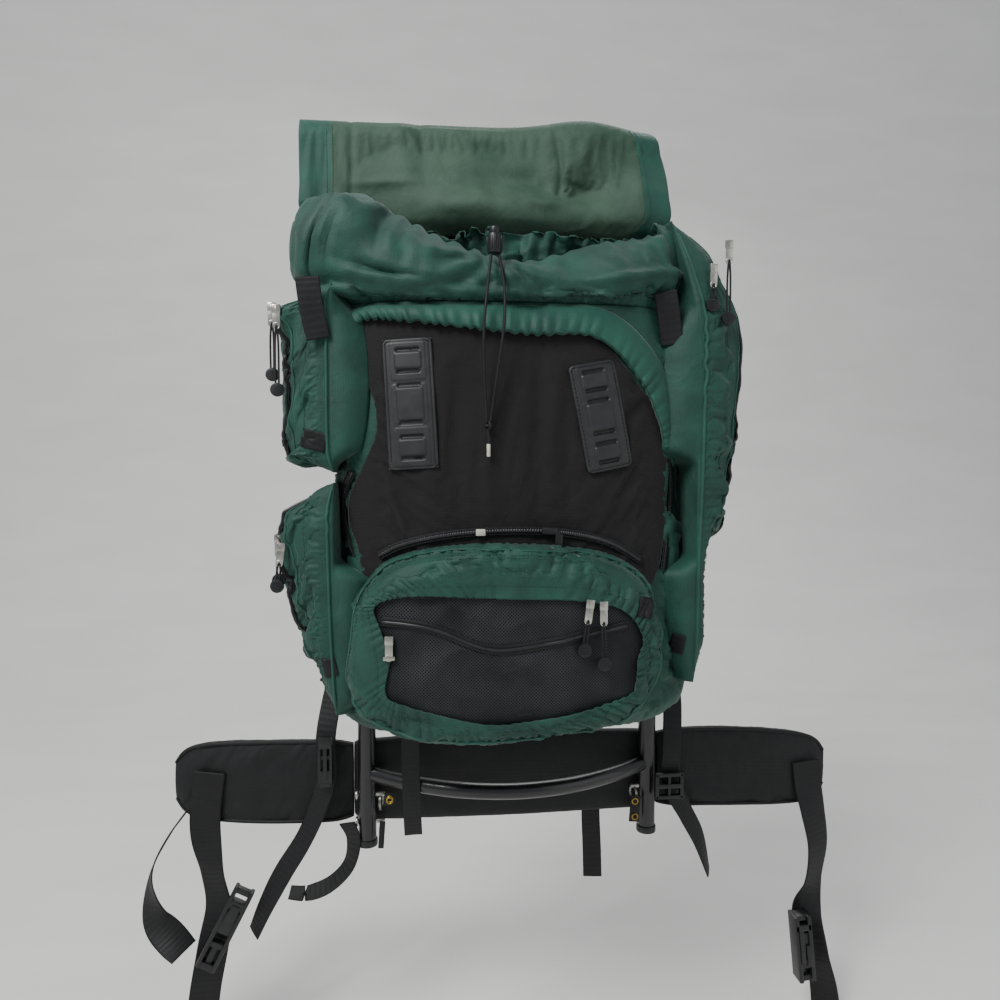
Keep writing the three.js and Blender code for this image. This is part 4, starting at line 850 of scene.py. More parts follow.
for side, word in ((-1, "left"), (1, "right")):
    wing = piece(
        padded_form(
            lambda v, side=side: (wing_middle(side, v), Vector((0, 0, side)), Vector((0, 1, 0))),
            lambda v: 104 * read(WING_STATIONS, "height", v),
            wing_thickness,
            72,
            150,
            puffs=1.0,
        ),
        f"wing_{word}",
        pad_cloth,
        [f"hip_wing_{word}"],
    )
    binding = []
    for edge in (-1, 1):
        route = []
        for i in range(25):
            v = i / 24
            place = wing_middle(side, v)
            half = 52 * read(WING_STATIONS, "height", v) - 1.5
            route.append((place.x, place.y - 5 * read(WING_STATIONS, "thickness", v), place.z + edge * half))
        binding.append(swept(route, 2.4, 10, 120))
    piece(joined(binding), f"wing_binding_{word}", webbing)

# %% [markdown]
# ## Shoulder straps
# They start at the upper bar on the wearer's side and curve down to their webbing. Foam sewn in
# nylon, quilted across, which is what makes the row of shallow grooves.

# %% Shoulder straps
SHOULDER = [
    (52, -14.1, 640, 0.70),
    (60, 44, 652, 0.86),
    (76, 84, 600, 1.00),
    (104, 112, 500, 1.00),
    (142, 108, 390, 1.00),
    (182, 76, 290, 0.90),
    (212, 40, 214, 0.50),
]
for side, word in ((-1, "left"), (1, "right")):
    route = [(side * x, y, z, width) for x, y, z, width in SHOULDER]

    def strap_middle(v, route=route):
        start = 0.03 + 0.97 * v
        ahead = heading(route, start)
        across = (Vector((1, 0, 0)) - ahead * ahead.x).normalized()
        return Vector(along(route, start)[:3]), across, ahead.cross(across)

    strap_pad = piece(
        padded_form(
            strap_middle,
            lambda v, route=route: 63 * along(route, v)[3],
            lambda v: 12.4 * min(1, 0.45 + 6 * min(v, 1 - v)) - 1.0 * abs(math.sin(v * 14 * math.pi)) ** 12,
            48,
            220,
        ),
        f"shoulder_pad_{word}",
        pad_cloth,
        [f"shoulder_strap_{word}"],
    )
print("pads made")

# %% [markdown]
# ## The bag's form
# A pack bag is a cloth tube that its load rounds out: square at the back, where it lies against
# the frame, and full in front. Its section is a superellipse whose width and depth change with
# the height, and its sags and creases are soft dents listed one by one.

# %% The bag's surface
BAG_PROFILE = table("at width depth", [
    [0.00, 0.88, 0.84],
    [0.03, 0.96, 0.93],
    [0.10, 1.00, 0.98],
    [0.30, 1.00, 1.00],
    [0.52, 0.99, 1.00],
    [0.75, 1.00, 0.99],
    [0.90, 0.99, 0.96],
    [1.00, 0.97, 0.92],
])
BAG_FOLDS = table("across up wide tall depth", [
    [0.62, 0.78, 0.030, 0.14, -4],
    [0.71, 0.60, 0.020, 0.20, 5],
    [0.67, 0.34, 0.024, 0.10, -3],
    [0.30, 0.66, 0.022, 0.22, 4],
    [0.36, 0.88, 0.030, 0.08, -4],
    [0.35, 0.45, 0.020, 0.16, 3],
    [0.50, 0.80, 0.060, 0.10, 3],
    [0.77, 0.20, 0.022, 0.10, 4],
    [0.64, 0.12, 0.050, 0.02, 4],
    [0.58, 0.08, 0.070, 0.015, -3],
    [0.40, 0.10, 0.060, 0.02, 3],
    [0.66, 0.93, 0.012, 0.08, 3],
    [0.60, 0.95, 0.010, 0.07, 3],
    [0.42, 0.96, 0.012, 0.06, 3],
    [0.34, 0.95, 0.010, 0.07, 3],
])
OUTLINE_STEPS = 240
outlines = {}


def signed_power(value, power):
    return math.copysign(abs(value) ** power, value)


def bag_outline(share):
    """A fine outline of the bag at one height, with the length run from the back's middle."""
    key = round(share, 4)
    if key not in outlines:
        half = BAG_WIDTH / 2 * read(BAG_PROFILE, "width", share)
        depth = BAG_DEPTH * read(BAG_PROFILE, "depth", share)
        places = []
        for i in range(OUTLINE_STEPS + 1):
            angle = 2 * math.pi * i / OUTLINE_STEPS
            back = math.cos(angle) >= 0
            power = 2 / 14 if back else 2 / 3
            reach = BACK_CORNER if back else depth - BACK_CORNER
            x = half * signed_power(math.sin(angle), power)
            y = BAG_BACK - BACK_CORNER + reach * signed_power(math.cos(angle), power)
            hollow = BACK_HOLLOW * max(0, 1 - (x / HALF_SPACING) ** 2) if back else 0
            places.append(Vector((x - FRONT_SKEW * (BAG_BACK - y) / BAG_DEPTH, y - hollow)))
        runs = [0.0]
        for a, b in zip(places, places[1:]):
            runs.append(runs[-1] + (b - a).length)
        outlines[key] = (places, runs)
    return outlines[key]


def bag_point(turn, share, lift):
    """A place on the bag's wall, a share of the way round from the back's middle by the right."""
    places, runs = bag_outline(share)
    turn = min(max(turn, 0), 1) % 1
    run = turn * runs[-1]
    low, high = 0, OUTLINE_STEPS
    while high - low > 1:
        middle = (low + high) // 2
        low, high = (middle, high) if runs[middle] <= run else (low, middle)
    place = places[low].lerp(places[low + 1], (run - runs[low]) / (runs[low + 1] - runs[low]))
    run_way = (places[low + 1] - places[low]).normalized()
    out = lift - folds_at(BAG_FOLDS, turn, share)
    return Vector((place.x - run_way.y * out, place.y + run_way.x * out, BAG_BOTTOM + BAG_HEIGHT * share))


def front_y(x, z):
    """The depth of the bag's smooth front at a place in the front view."""
    share = min(max((z - BAG_BOTTOM) / BAG_HEIGHT, 0), 1)
    half = BAG_WIDTH / 2 * read(BAG_PROFILE, "width", share)
    reach = BAG_DEPTH * read(BAG_PROFILE, "depth", share) - BACK_CORNER
    side = min(abs((x + FRONT_SKEW * 0.9) / half), 0.995)
    return BAG_BACK - BACK_CORNER - reach * (1 - side**3) ** (1 / 3)


def on_front(x, z, lift):
    return Vector((x, front_y(x, z) - lift, z))


def front_place(row, across="across", up="up"):
    """A table's place on the front, as x and z in millimetres."""
    return row[across] * BAG_WIDTH, BAG_BOTTOM + row[up] * BAG_HEIGHT


def loop_curve(rows, across="across", up="up"):
    """A closed smooth curve through a table's places: a function of the share of the way round."""
    places = [(*front_place(row, across, up), 0) for row in rows]
    count = len(places)

    def at(u):
        place = (u % 1) * count
        i = int(place) % count
        f = place - int(place)
        four = [places[(i + k) % count] for k in (-1, 0, 1, 2)]
        x, z, _ = along(four, (1 + f) / 3)
        return x, z

    return at


def bag_wall(u, v):
    """The bag from the middle of its bottom, over its rounded lower edge, up to its top seam."""
    floor = Vector((0, BAG_BACK - BAG_DEPTH / 2, BAG_BOTTOM - 5))
    if v < 0.16:
        return floor.lerp(bag_point(u, 0, 0), (v / 0.16) ** 0.8)
    share = (v - 0.16) / 0.84
    place = bag_point(u, share, 0)
    covered = max(0, 1 - (abs(place.x + 14) / 172) ** 8) if place.y < -100 else 0
    tuck = -4.5 * covered * min(1, max(0, (share - 0.08) / 0.06)) * min(1, (0.97 - share) / 0.05)
    gather = 1.3 * math.sin(u * 62 * math.pi) * max(0, (share - 0.93) / 0.07) ** 1.5
    return bag_point(u, share, tuck + gather)


bag = piece(sheet(bag_wall, 220, 110, closed=True), "bag_cloth", packcloth, ["main_bag"])
print("bag:", len(bag.data.polygons), "faces")

# %% [markdown]
# ## The collar
# Above the seam a collar of the same cloth is drawn in by a cord. On the real pack it has slumped
# over to the left, its hem ruffled and its front pulled to the lock. The table gives its bulge and
# height round the mouth, and gathers grow towards the hem, as a drawstring makes them.

# %% Collar
COLLAR = table("at bulge bulge_up inset rim", [
    [0.00, -0.10, 0.35, 0.42, 0.72],
    [0.12, -0.10, 0.35, 0.40, 0.72],
    [0.25, 0.08, 0.38, 0.30, 0.74],
    [0.34, 0.16, 0.34, 0.62, 0.74],
    [0.42, 0.28, 0.30, 0.60, 0.62],
    [0.50, 0.34, 0.28, 0.52, 0.47],
    [0.56, 0.32, 0.30, 0.58, 0.60],
    [0.64, 0.44, 0.38, 0.55, 0.84],
    [0.69, 0.84, 0.52, 0.10, 0.98],
    [0.75, 1.00, 0.54, -0.05, 0.98],
    [0.79, 0.60, 0.52, 0.15, 0.84],
    [0.84, -0.06, 0.42, 0.40, 0.74],
    [1.00, -0.10, 0.35, 0.42, 0.72],
])
COLLAR_FOLDS = table("across up wide tall depth", [
    [0.44, 0.62, 0.020, 0.30, 9],
    [0.54, 0.60, 0.014, 0.32, 11],
    [0.60, 0.45, 0.020, 0.30, -7],
    [0.67, 0.55, 0.016, 0.24, 12],
    [0.74, 0.70, 0.020, 0.25, 10],
    [0.38, 0.40, 0.024, 0.30, -6],
    [0.31, 0.60, 0.020, 0.30, 7],
    [0.82, 0.50, 0.020, 0.35, 6],
    [0.60, 0.20, 0.080, 0.045, 10],
    [0.52, 0.34, 0.060, 0.05, -7],
    [0.70, 0.30, 0.060, 0.050, 9],
    [0.40, 0.24, 0.070, 0.05, 9],
    [0.36, 0.50, 0.060, 0.05, -7],
    [0.48, 0.80, 0.012, 0.14, 8],
    [0.51, 0.62, 0.010, 0.16, -6],
    [0.57, 0.82, 0.010, 0.16, 8],
    [0.62, 0.72, 0.010, 0.16, 7],
    [0.65, 0.80, 0.010, 0.18, 8],
    [0.71, 0.76, 0.010, 0.16, 8],
    [0.64, 0.44, 0.030, 0.03, 7],
    [0.44, 0.36, 0.030, 0.03, 6],
])
COLLAR_HEIGHT = 130
COLLAR_BULGE = 54
RIM_PLEATS = 44
LOCK_ACROSS = -34
LOCK_UP = 62
SEAM_PLEATS = 31
COLLAR_WAVES = 10
STAR_WIDE = 75
STAR_TALL = 50
STAR_CREASES = 9


def star_folds(x, up):
    """Creases that spread from the cord lock, where the drawn cord gathers the cloth."""
    across = (x - LOCK_ACROSS) / STAR_WIDE
    below = (LOCK_UP - up) / STAR_TALL
    far = math.hypot(across, below)
    angle = math.atan2(across, below)
    return 5 * math.sin(STAR_CREASES * angle + 1.3) * step_up(far, 0.2, 0.6) * math.exp(-far * far)


def collar_at(u, v):
    turn = u % 1
    bulge = COLLAR_BULGE * read(COLLAR, "bulge", turn)
    rise = COLLAR_HEIGHT * read(COLLAR, "rim", turn)
    swell = COLLAR_HEIGHT * read(COLLAR, "bulge_up", turn)
    inset = COLLAR_BULGE * read(COLLAR, "inset", turn)
    a, b, c, d = (1 - v) ** 3, 3 * v * (1 - v) ** 2, 3 * v * v * (1 - v), v**3
    out = -1 * a + bulge * 0.7 * b + bulge * 1.7 * c - inset * d
    up = swell * 0.3 * b + swell * 1.6 * c + rise * d
    out += 6.5 * v * gathers(turn, COLLAR_WAVES, seed=1)
    out += 4.5 * v**3 * gathers(turn, RIM_PLEATS, seed=2)
    out += 2.4 * (1 - v) ** 4 * gathers(turn, SEAM_PLEATS, seed=3)
    out -= folds_at(COLLAR_FOLDS, turn, v) * math.sin(math.pi * min(v * 1.2, 1) * 0.8)
    place = bag_point(turn, 1, 0)
    wide = bag_point(turn, 1, 1) - place
    if wide.y < 0:
        out -= star_folds(place.x + wide.x * out, up)
    up += 3.2 * v**4 * gathers(turn + 0.25 / RIM_PLEATS, RIM_PLEATS, seed=2)
    return Vector((place.x + wide.x * out, place.y + wide.y * out, BAG_TOP + 1.6 + up))


collar = piece(sheet(collar_at, 260, 56, closed=True), "collar_cloth", packcloth, ["collar"])
print("collar:", len(collar.data.polygons), "faces")

# %% [markdown]
# ## The lid
# The lid lies thrown back over the top bar with its proofed inner face to the front. Its sides
# are hemmed in brighter cloth, and its front edge drops into deep soft folds on the right.

# %% Lid
LID_PATH = table("at y y_right z left right", [
    [0.00, -15, -34, 750, -0.47, 0.46],
    [0.08, -16, -56, 764, -0.50, 0.50],
    [0.20, -20, -52, 796, -0.50, 0.50],
    [0.34, -20, -32, 835, -0.50, 0.50],
    [0.44, -17, -19, 868, -0.50, 0.48],
    [0.52, 0, 0, 883, -0.50, 0.46],
    [0.60, 18, 18, 867, -0.49, 0.46],
    [0.74, 26, 26, 800, -0.48, 0.47],
    [1.00, 28, 28, 668, -0.47, 0.47],
])
LID_FOLDS = table("across up wide tall depth", [
    [0.80, 0.42, 0.14, 0.10, 20],
    [0.76, 0.22, 0.10, 0.06, -18],
    [0.60, 0.26, 0.20, 0.05, -9],
    [0.30, 0.30, 0.20, 0.10, 6],
    [0.92, 0.22, 0.05, 0.14, 9],
    [0.10, 0.14, 0.05, 0.12, 7],
    [0.45, 0.14, 0.10, 0.06, 10],
    [0.28, 0.36, 0.03, 0.12, 2.5],
    [0.33, 0.40, 0.02, 0.10, -2.5],
    [0.22, 0.24, 0.09, 0.02, 3],
    [0.40, 0.45, 0.20, 0.014, 2],
    [0.52, 0.20, 0.03, 0.10, -4],
    [0.66, 0.16, 0.05, 0.03, 5],
    [0.70, 0.34, 0.012, 0.10, -3],
    [0.14, 0.30, 0.012, 0.20, -2],
])
LID_WIDTH = 436
LID_MIDDLE = -31


def lid_at(u, v):
    left, right = read(LID_PATH, "left", v), read(LID_PATH, "right", v)
    x = LID_MIDDLE + LID_WIDTH * (left + (right - left) * u)
    ahead, behind = min(v + 0.01, 1), max(v - 0.01, 0)
    rise_y = read(LID_PATH, "y", ahead) - read(LID_PATH, "y", behind)
    rise_z = read(LID_PATH, "z", ahead) - read(LID_PATH, "z", behind)
    length = math.hypot(rise_y, rise_z)
    out = folds_at(LID_FOLDS, u, v)
    step = min(max((u - 0.05) / 0.45, 0), 1)
    blend = step * step * (3 - 2 * step)
    y = read(LID_PATH, "y", v) * (1 - blend) + read(LID_PATH, "y_right", v) * blend
    return Vector((x, y - rise_z / length * out, read(LID_PATH, "z", v) + rise_y / length * out))


HEM_SHARE = 0.085


def hemmed(mesh):
    """Marks the faces of both side hems, which are turned back and so show the outer cloth."""
    uv = mesh.loops.layers.uv["cloth"]
    wide = max(loop[uv].uv.x for face in mesh.faces for loop in face.loops)
    for face in mesh.faces:
        share = sum(loop[uv].uv.x for loop in face.loops) / len(face.loops) / wide
        if share < HEM_SHARE or share > 1 - HEM_SHARE * 0.9:
            face.material_index = 2
    return mesh


lid = piece(
    hemmed(seat_like(sheet(lid_at, 150, 130), "lid_flap")), "lid_cloth", proofed, ["lid_flap"]
)
for cloth in (packcloth, hem_cloth, hem_cloth):
    lid.data.materials.append(cloth)
print("lid:", len(lid.data.polygons), "faces")

# %% [markdown]
# ## The front door and its zips
# A door of coarse black nylon closes the bag's front. It hangs slack between its zips, so its cloth
# falls in soft upright valleys. The zip tapes follow its edge where the photograph shows them.

# %% Door
DOOR = table("across up", [
    [-0.060, 0.120],
    [-0.400, 0.135],
    [-0.428, 0.270],
    [-0.435, 0.414],
    [-0.465, 0.500],
    [-0.462, 0.560],
    [-0.425, 0.630],
    [-0.392, 0.700],
    [-0.395, 0.776],
    [-0.438, 0.870],
    [-0.468, 0.940],
    [-0.430, 0.975],
    [-0.346, 0.972],
    [-0.132, 0.952],
    [0.020, 0.942],
    [0.174, 0.926],
    [0.299, 0.830],
    [0.371, 0.728],
    [0.398, 0.627],
    [0.398, 0.540],
    [0.378, 0.410],
    [0.330, 0.300],
    [0.290, 0.135],
])
DOOR_FOLDS = table("across up wide tall depth", [
    [-0.30, 0.55, 0.035, 0.10, 3.0],
    [-0.18, 0.62, 0.030, 0.22, 3.0],
    [-0.10, 0.70, 0.020, 0.20, -2.2],
    [0.03, 0.66, 0.022, 0.26, 3.4],
    [0.07, 0.60, 0.018, 0.22, -2.4],
    [0.11, 0.58, 0.016, 0.18, 2.4],
    [0.26, 0.56, 0.030, 0.10, 2.6],
    [0.34, 0.62, 0.020, 0.14, 2.0],
    [-0.38, 0.60, 0.020, 0.10, 2.0],
    [-0.20, 0.50, 0.120, 0.02, 1.8],
    [0.10, 0.49, 0.140, 0.02, 1.8],
    [-0.05, 0.90, 0.200, 0.02, 1.6],
])
DOOR_MIDDLE = (-14, 430)
door_edge = loop_curve(DOOR)


def flat_uv(mesh):
    """Lays the weave straight in the front view, for a cloth made from the middle outwards."""
    uv = mesh.loops.layers.uv["cloth"]
    for face in mesh.faces:
        for loop in face.loops:
            loop[uv].uv = (loop.vert.co.x, loop.vert.co.z)
    return mesh


def door_at(u, v):
    edge_x, edge_z = door_edge(u)
    x = DOOR_MIDDLE[0] + (edge_x - DOOR_MIDDLE[0]) * v
    z = DOOR_MIDDLE[1] + (edge_z - DOOR_MIDDLE[1]) * v
    slack = (1 - v**6) * folds_at(DOOR_FOLDS, x / BAG_WIDTH, (z - BAG_BOTTOM) / BAG_HEIGHT)
    return on_front(x, z, 1.9 - slack * 0.7 + 0.25 * crumple(x, 0, z, 26, seed=5) * (1 - v**6))


door = piece(
    flat_uv(sheet(door_at, 180, 90, closed=True)), "door_cloth", coarse_nylon, ["front_door"]
)

ZIPS = {
    "door_zip_left": [(-0.456, 0.420), (-0.468, 0.450), (-0.482, 0.500), (-0.482, 0.560), (-0.456, 0.615)],
    "door_zip_right": [(0.389, 0.380), (0.400, 0.440), (0.416, 0.540), (0.415, 0.600), (0.409, 0.645)],
}
POCKET_ZIP = [
    (-0.385, 0.424),
    (-0.320, 0.452),
    (-0.200, 0.474),
    (-0.050, 0.482),
    (0.100, 0.476),
    (0.220, 0.452),
    (0.310, 0.408),
]


def zip_tape(line, lift, width=9, columns=10, rows=90):
    """A zip's tape with its coil along the middle, on the bag's front."""
    route = [(across * BAG_WIDTH, 0, BAG_BOTTOM + up * BAG_HEIGHT) for across, up in line]
    count = sum((Vector(b) - Vector(a)).length for a, b in zip(route, route[1:])) / 2.2

    def tape_at(u, v):
        ahead = heading(route, v)
        out = Vector((-ahead.z, 0, ahead.x))
        place = Vector(along(route, v)) + out * ((u - 0.5) * width)
        return on_front(place.x, place.z, lift)

    def coil_at(u, v):
        ahead = heading(route, v)
        out = Vector((-ahead.z, 0, ahead.x))
        angle = 2 * math.pi * u
        bulge = 1 + 0.28 * math.sin(v * count * 2 * math.pi)
        place = Vector(along(route, v)) + out * (math.cos(angle) * 2.3 * bulge)
        return on_front(place.x, place.z, lift + 0.8 + math.sin(angle) * 1.1 * bulge)

    teeth = close_ends(sheet(coil_at, 8, int(count * 4), closed=True))
    return sheet(tape_at, columns, rows), teeth


for node, line in ZIPS.items():
    tape, teeth = zip_tape(line, 1.6)
    thicken(piece(tape, node + "_tape", webbing, [node]), 0.9, offset=0)
    piece(teeth, node + "_coil", coil)
tape, teeth = zip_tape(POCKET_ZIP, 3.6)
thicken(piece(tape, "pocket_zip_tape", webbing, ["pocket_zip"]), 0.9, offset=0)
piece(teeth, "pocket_zip_coil", coil)
print("door and zips made")

# %% [markdown]
# ## Lash patches
# Two moulded plates carry straps. Each has three cells: a raised panel with a slot above and
# below it. The plate is one grid whose points rise and sink by the same plan as the moulding.

# %% Lash patches
PATCHES = table("node across up tall lean", [
    ["lash_patch_left", -0.301, 0.769, 1.00, 3],
    ["lash_patch_right", 0.197, 0.743, 0.85, 11],
])
PATCH_WIDTH = 52
PATCH_HEIGHT = 136
PANEL_WIDTH = 27
PANEL_HEIGHT = 26


def inside(distance, soft=0.7):
    """1 inside an edge and 0 outside it, with a soft step; distance is negative inside."""
    return min(max(0.5 - distance / soft, 0), 1)


def rect_distance(x, z, width, height, radius=1.5):
    a = abs(x) - width / 2 + radius
    b = abs(z) - height / 2 + radius
    return math.hypot(max(a, 0), max(b, 0)) + min(max(a, b), 0) - radius


def patch_rise(x, z, height, tall):
    """The plate's height over its back at a place on it, in millimetres."""
    rise = 2.6
    for share, panel in ((0.33, 0.62), (0, 1.25), (-0.33, 0.62)):
        middle = share * height
        panel_height = PANEL_HEIGHT * panel * tall
        rise += 1.5 * inside(rect_distance(x, z - middle, PANEL_WIDTH, panel_height, 2))
        rise += 0.5 * inside(rect_distance(x, z - middle, 36, height * 0.3, 3)) - 0.25
        for side in (-1, 1):
            slot = z - middle - side * (panel_height / 2 + 3.2)
            rise -= 2.6 * inside(rect_distance(x, slot, 24, 3.4, 1.2))
    edge = rect_distance(x, z, PATCH_WIDTH, height, 7)
    rise -= 0.9 * math.exp(-(((edge + 3.4) / 0.6) ** 2))
    return rise - 1.4 * max(0, (edge + 1.4) / 1.4) ** 2


for row in PATCHES:
    height = PATCH_HEIGHT * row["tall"]
    middle_x, middle_z = front_place(row)
    lean = math.radians(row["lean"])

    def patch_at(u, v, row=row, height=height):
        x, z = (u - 0.5) * PATCH_WIDTH, (v - 0.5) * height
        corner = rect_distance(x, z, PATCH_WIDTH, height, 7)
        if corner > 0:
            x *= 1 - corner / 40
            z *= 1 - corner / 80
        place_x = middle_x + x * math.cos(lean) - z * math.sin(lean)
        place_z = middle_z + x * math.sin(lean) + z * math.cos(lean)
        return on_front(place_x, place_z, 2.6 + patch_rise(x, z, height, row["tall"]))

    face = sheet(patch_at, 56, int(height))
    plate = piece(face, row["node"] + "_plate", patch_plastic, [row["node"]])
    thicken(plate, 1.6)
print("patches made")

# %% [markdown]
# ## The rain flap
# A flap of bag cloth overhangs the door's top and sides. Elastic in its rolled hem gathers it into
# a row of pleats, close together at the hem and fading towards its seam.

# %% Rain flap
FLAP = table("at across up outer_across outer_up", [
    [0.00, -0.382, 0.730, -0.452, 0.700],
    [0.08, -0.398, 0.790, -0.472, 0.800],
    [0.18, -0.438, 0.862, -0.488, 0.885],
    [0.26, -0.462, 0.925, -0.490, 0.965],
    [0.33, -0.420, 0.962, -0.440, 0.990],
    [0.42, -0.320, 0.958, -0.330, 0.992],
    [0.54, -0.132, 0.940, -0.130, 0.992],
    [0.64, 0.020, 0.928, 0.030, 0.992],
    [0.74, 0.185, 0.924, 0.220, 0.985],
    [0.84, 0.305, 0.832, 0.360, 0.885],
    [0.93, 0.366, 0.732, 0.424, 0.760],
    [1.00, 0.386, 0.672, 0.434, 0.680],
])
FLAP_PLEATS = 52
FLAP_BUNCHES = 17
HEM_ROLL = 8


def flap_at(u, v):
    """v runs from the seam at 0 to the hem at 0.8, and round under the roll to 1."""
    reach = min(v / 0.8, 1)
    tucked = max(0, (v - 0.8) / 0.2)
    spread = reach * (0.12 + 0.88 * step_up(u, -0.02, 0.20))
    across = read(FLAP, "outer_across", u) * (1 - spread) + read(FLAP, "across", u) * spread
    up = read(FLAP, "outer_up", u) * (1 - spread) + read(FLAP, "up", u) * spread
    gathered = step_up(u, 0.00, 0.16) * (1 - 0.55 * step_up(u, 0.76, 0.90))
    pleat = 1.9 * gathers(u, FLAP_PLEATS, seed=4) + 1.5 * gathers(u, FLAP_BUNCHES, seed=5)
    pleat *= gathered * reach**1.6 * (1 - 0.6 * tucked)
    roll = HEM_ROLL * math.sin(math.pi * min(reach * 0.72, 0.72)) ** 0.8
    lift = 3.4 + roll * (1 - tucked) + pleat + 0.5 * crumple(across * 400, 0, up * 400, 22, seed=8) * reach
    place = on_front(across * BAG_WIDTH, BAG_BOTTOM + up * BAG_HEIGHT, lift)
    place.z += 1.6 * gathers(u + 0.25 / FLAP_PLEATS, FLAP_PLEATS, seed=4) * gathered * reach**2
    return place


flap = piece(sheet(flap_at, 420, 26), "rain_flap_cloth", hem_cloth, ["rain_flap"])
thicken(flap, 1.0)

# %% [markdown]
# ## The lower pocket
# A pocket stands out from the bag's front: a frame of green cloth round a window of black net.
# The cloth is gathered to the window's edge, so its pleats point inwards all round.

# %% Lower pocket
POCKET = table("across up window_across window_up", [
    [-0.050, 0.450, -0.060, 0.340],
    [0.178, 0.431, 0.120, 0.333],
    [0.296, 0.383, 0.235, 0.308],
    [0.341, 0.318, 0.290, 0.246],
    [0.348, 0.234, 0.278, 0.191],
    [0.332, 0.132, 0.262, 0.122],
    [0.250, 0.053, 0.169, 0.092],
    [0.130, 0.026, 0.046, 0.069],
    [-0.060, 0.014, -0.081, 0.059],
    [-0.190, 0.014, -0.204, 0.077],
    [-0.330, 0.034, -0.325, 0.107],
    [-0.430, 0.078, -0.365, 0.132],
    [-0.470, 0.140, -0.354, 0.210],
    [-0.458, 0.230, -0.375, 0.269],
    [-0.442, 0.318, -0.392, 0.320],
    [-0.412, 0.366, -0.340, 0.343],
    [-0.355, 0.414, -0.260, 0.348],
    [-0.240, 0.442, -0.160, 0.344],
])
POCKET_WALL = table("at inward forward", [
    [0.00, 0.00, -0.25],
    [0.18, 0.01, 0.30],
    [0.36, 0.06, 0.72],
    [0.54, 0.22, 0.94],
    [0.78, 0.62, 1.00],
    [1.00, 1.00, 1.00],
])
POCKET_FOLDS = table("across up wide tall depth", [
    [-0.30, 0.07, 0.060, 0.018, 5],
    [-0.24, 0.04, 0.080, 0.012, -3],
    [-0.38, 0.11, 0.020, 0.040, 3],
    [0.10, 0.40, 0.160, 0.008, 1.5],
    [-0.25, 0.41, 0.080, 0.012, 2],
    [0.26, 0.33, 0.020, 0.030, -3],
    [0.29, 0.10, 0.030, 0.030, 3],
])
POCKET_DEPTH = 40
pocket_edge = loop_curve(POCKET)
window_edge = loop_curve(POCKET, "window_across", "window_up")


def pocket_at(u, v):
    edge_x, edge_z = pocket_edge(u)
    window_x, window_z = window_edge(u)
    inward = read(POCKET_WALL, "inward", v)
    x = edge_x + (window_x - edge_x) * inward
    z = edge_z + (window_z - edge_z) * inward
    gather = 2.0 * v * gathers(u, 9, seed=6) + 1.4 * v**4 * gathers(u, 74, seed=7)
    fold = folds_at(POCKET_FOLDS, x / BAG_WIDTH, (z - BAG_BOTTOM) / BAG_HEIGHT)
    lift = POCKET_DEPTH * read(POCKET_WALL, "forward", v) + gather - fold
    return on_front(x, z, lift + 0.5 * crumple(x, 0, z, 24, seed=2) * v)


pocket = piece(
    sheet(pocket_at, 360, 48, closed=True), "lower_pocket_cloth", packcloth, ["lower_pocket"]
)

# %% [markdown]
# ## The net window
# The net is knitted in diamonds about 3 mm wide, finer than a camera at this distance can count.
# It is one sheet whose shader is clear between the threads: two Wave Textures run along the
# diagonals of the cloth's UV map, and where neither has a thread the sheet lets light through.


# %% Net
def net_material():
    material = net_cord.copy()
    material.name = "diamond_net"
    tree = material.node_tree
    shader = next(node for node in tree.nodes if node.type == "BSDF_PRINCIPLED")
    output = next(node for node in tree.nodes if node.type == "OUTPUT_MATERIAL")
    uv = add(tree, "UVMap", uv_map="cloth").outputs["UV"]
    threads = []
    for turn in (45, -45):
        turned = add(tree, "Mapping", {"Vector": uv, "Rotation": (0, 0, math.radians(turn))})
        lines = {"Vector": turned.outputs["Vector"], "Scale": wave_scale(2.4), "Distortion": 0.0}
        wave = add(tree, "TexWave", lines, wave_type="BANDS", bands_direction="X", wave_profile="SIN")
        threads.append(wave.outputs["Fac"])
    most = add(tree, "Math", {0: threads[0], 1: threads[1]}, operation="MAXIMUM")
    solid = add(tree, "Math", {0: most.outputs[0], 1: 0.80}, operation="GREATER_THAN")
    clear = add(tree, "BsdfTransparent")
    mix = add(tree, "MixShader", {"Fac": solid.outputs[0], 1: clear.outputs[0], 2: shader.outputs[0]})
    tree.links.new(mix.outputs[0], output.inputs["Surface"])
    return material


NET_OVERLAP = 7
window_places = [window_edge(i / 18) for i in range(18)]
WINDOW_MIDDLE = [sum(place[k] for place in window_places) / 18 for k in range(2)]


def net_at(u, v):
    edge_x, edge_z = window_edge(u)
    reach = Vector((edge_x - WINDOW_MIDDLE[0], edge_z - WINDOW_MIDDLE[1]))
    reach *= (reach.length + NET_OVERLAP - 1) / reach.length * v
    x, z = WINDOW_MIDDLE[0] + reach.x, WINDOW_MIDDLE[1] + reach.y
    belly = 5 * (1 - v * v) ** 2 + (1 - v**8) * 1.6 * crumple(x, 0, z, 46, seed=11)
    return on_front(x, z, POCKET_DEPTH - 4 + belly)


diamond_net = net_material()
net_form = flat_uv(sheet(net_at, 200, 50, closed=True))
net_cloth = piece(net_form, "window_net", diamond_net, ["mesh_panel"])


def backing_at(u, v):
    edge_x, edge_z = window_edge(u)
    x = WINDOW_MIDDLE[0] + (edge_x - WINDOW_MIDDLE[0]) * 1.12 * v
    z = WINDOW_MIDDLE[1] + (edge_z - WINDOW_MIDDLE[1]) * 1.16 * v
    return on_front(x, z, 6 + 2 * crumple(x, 0, z, 60, seed=7) * (1 - v**4))


# A black sheet lies behind the net, across the pocket's window.
piece(flat_uv(sheet(backing_at, 90, 24, closed=True)), "pocket_back", pad_cloth)

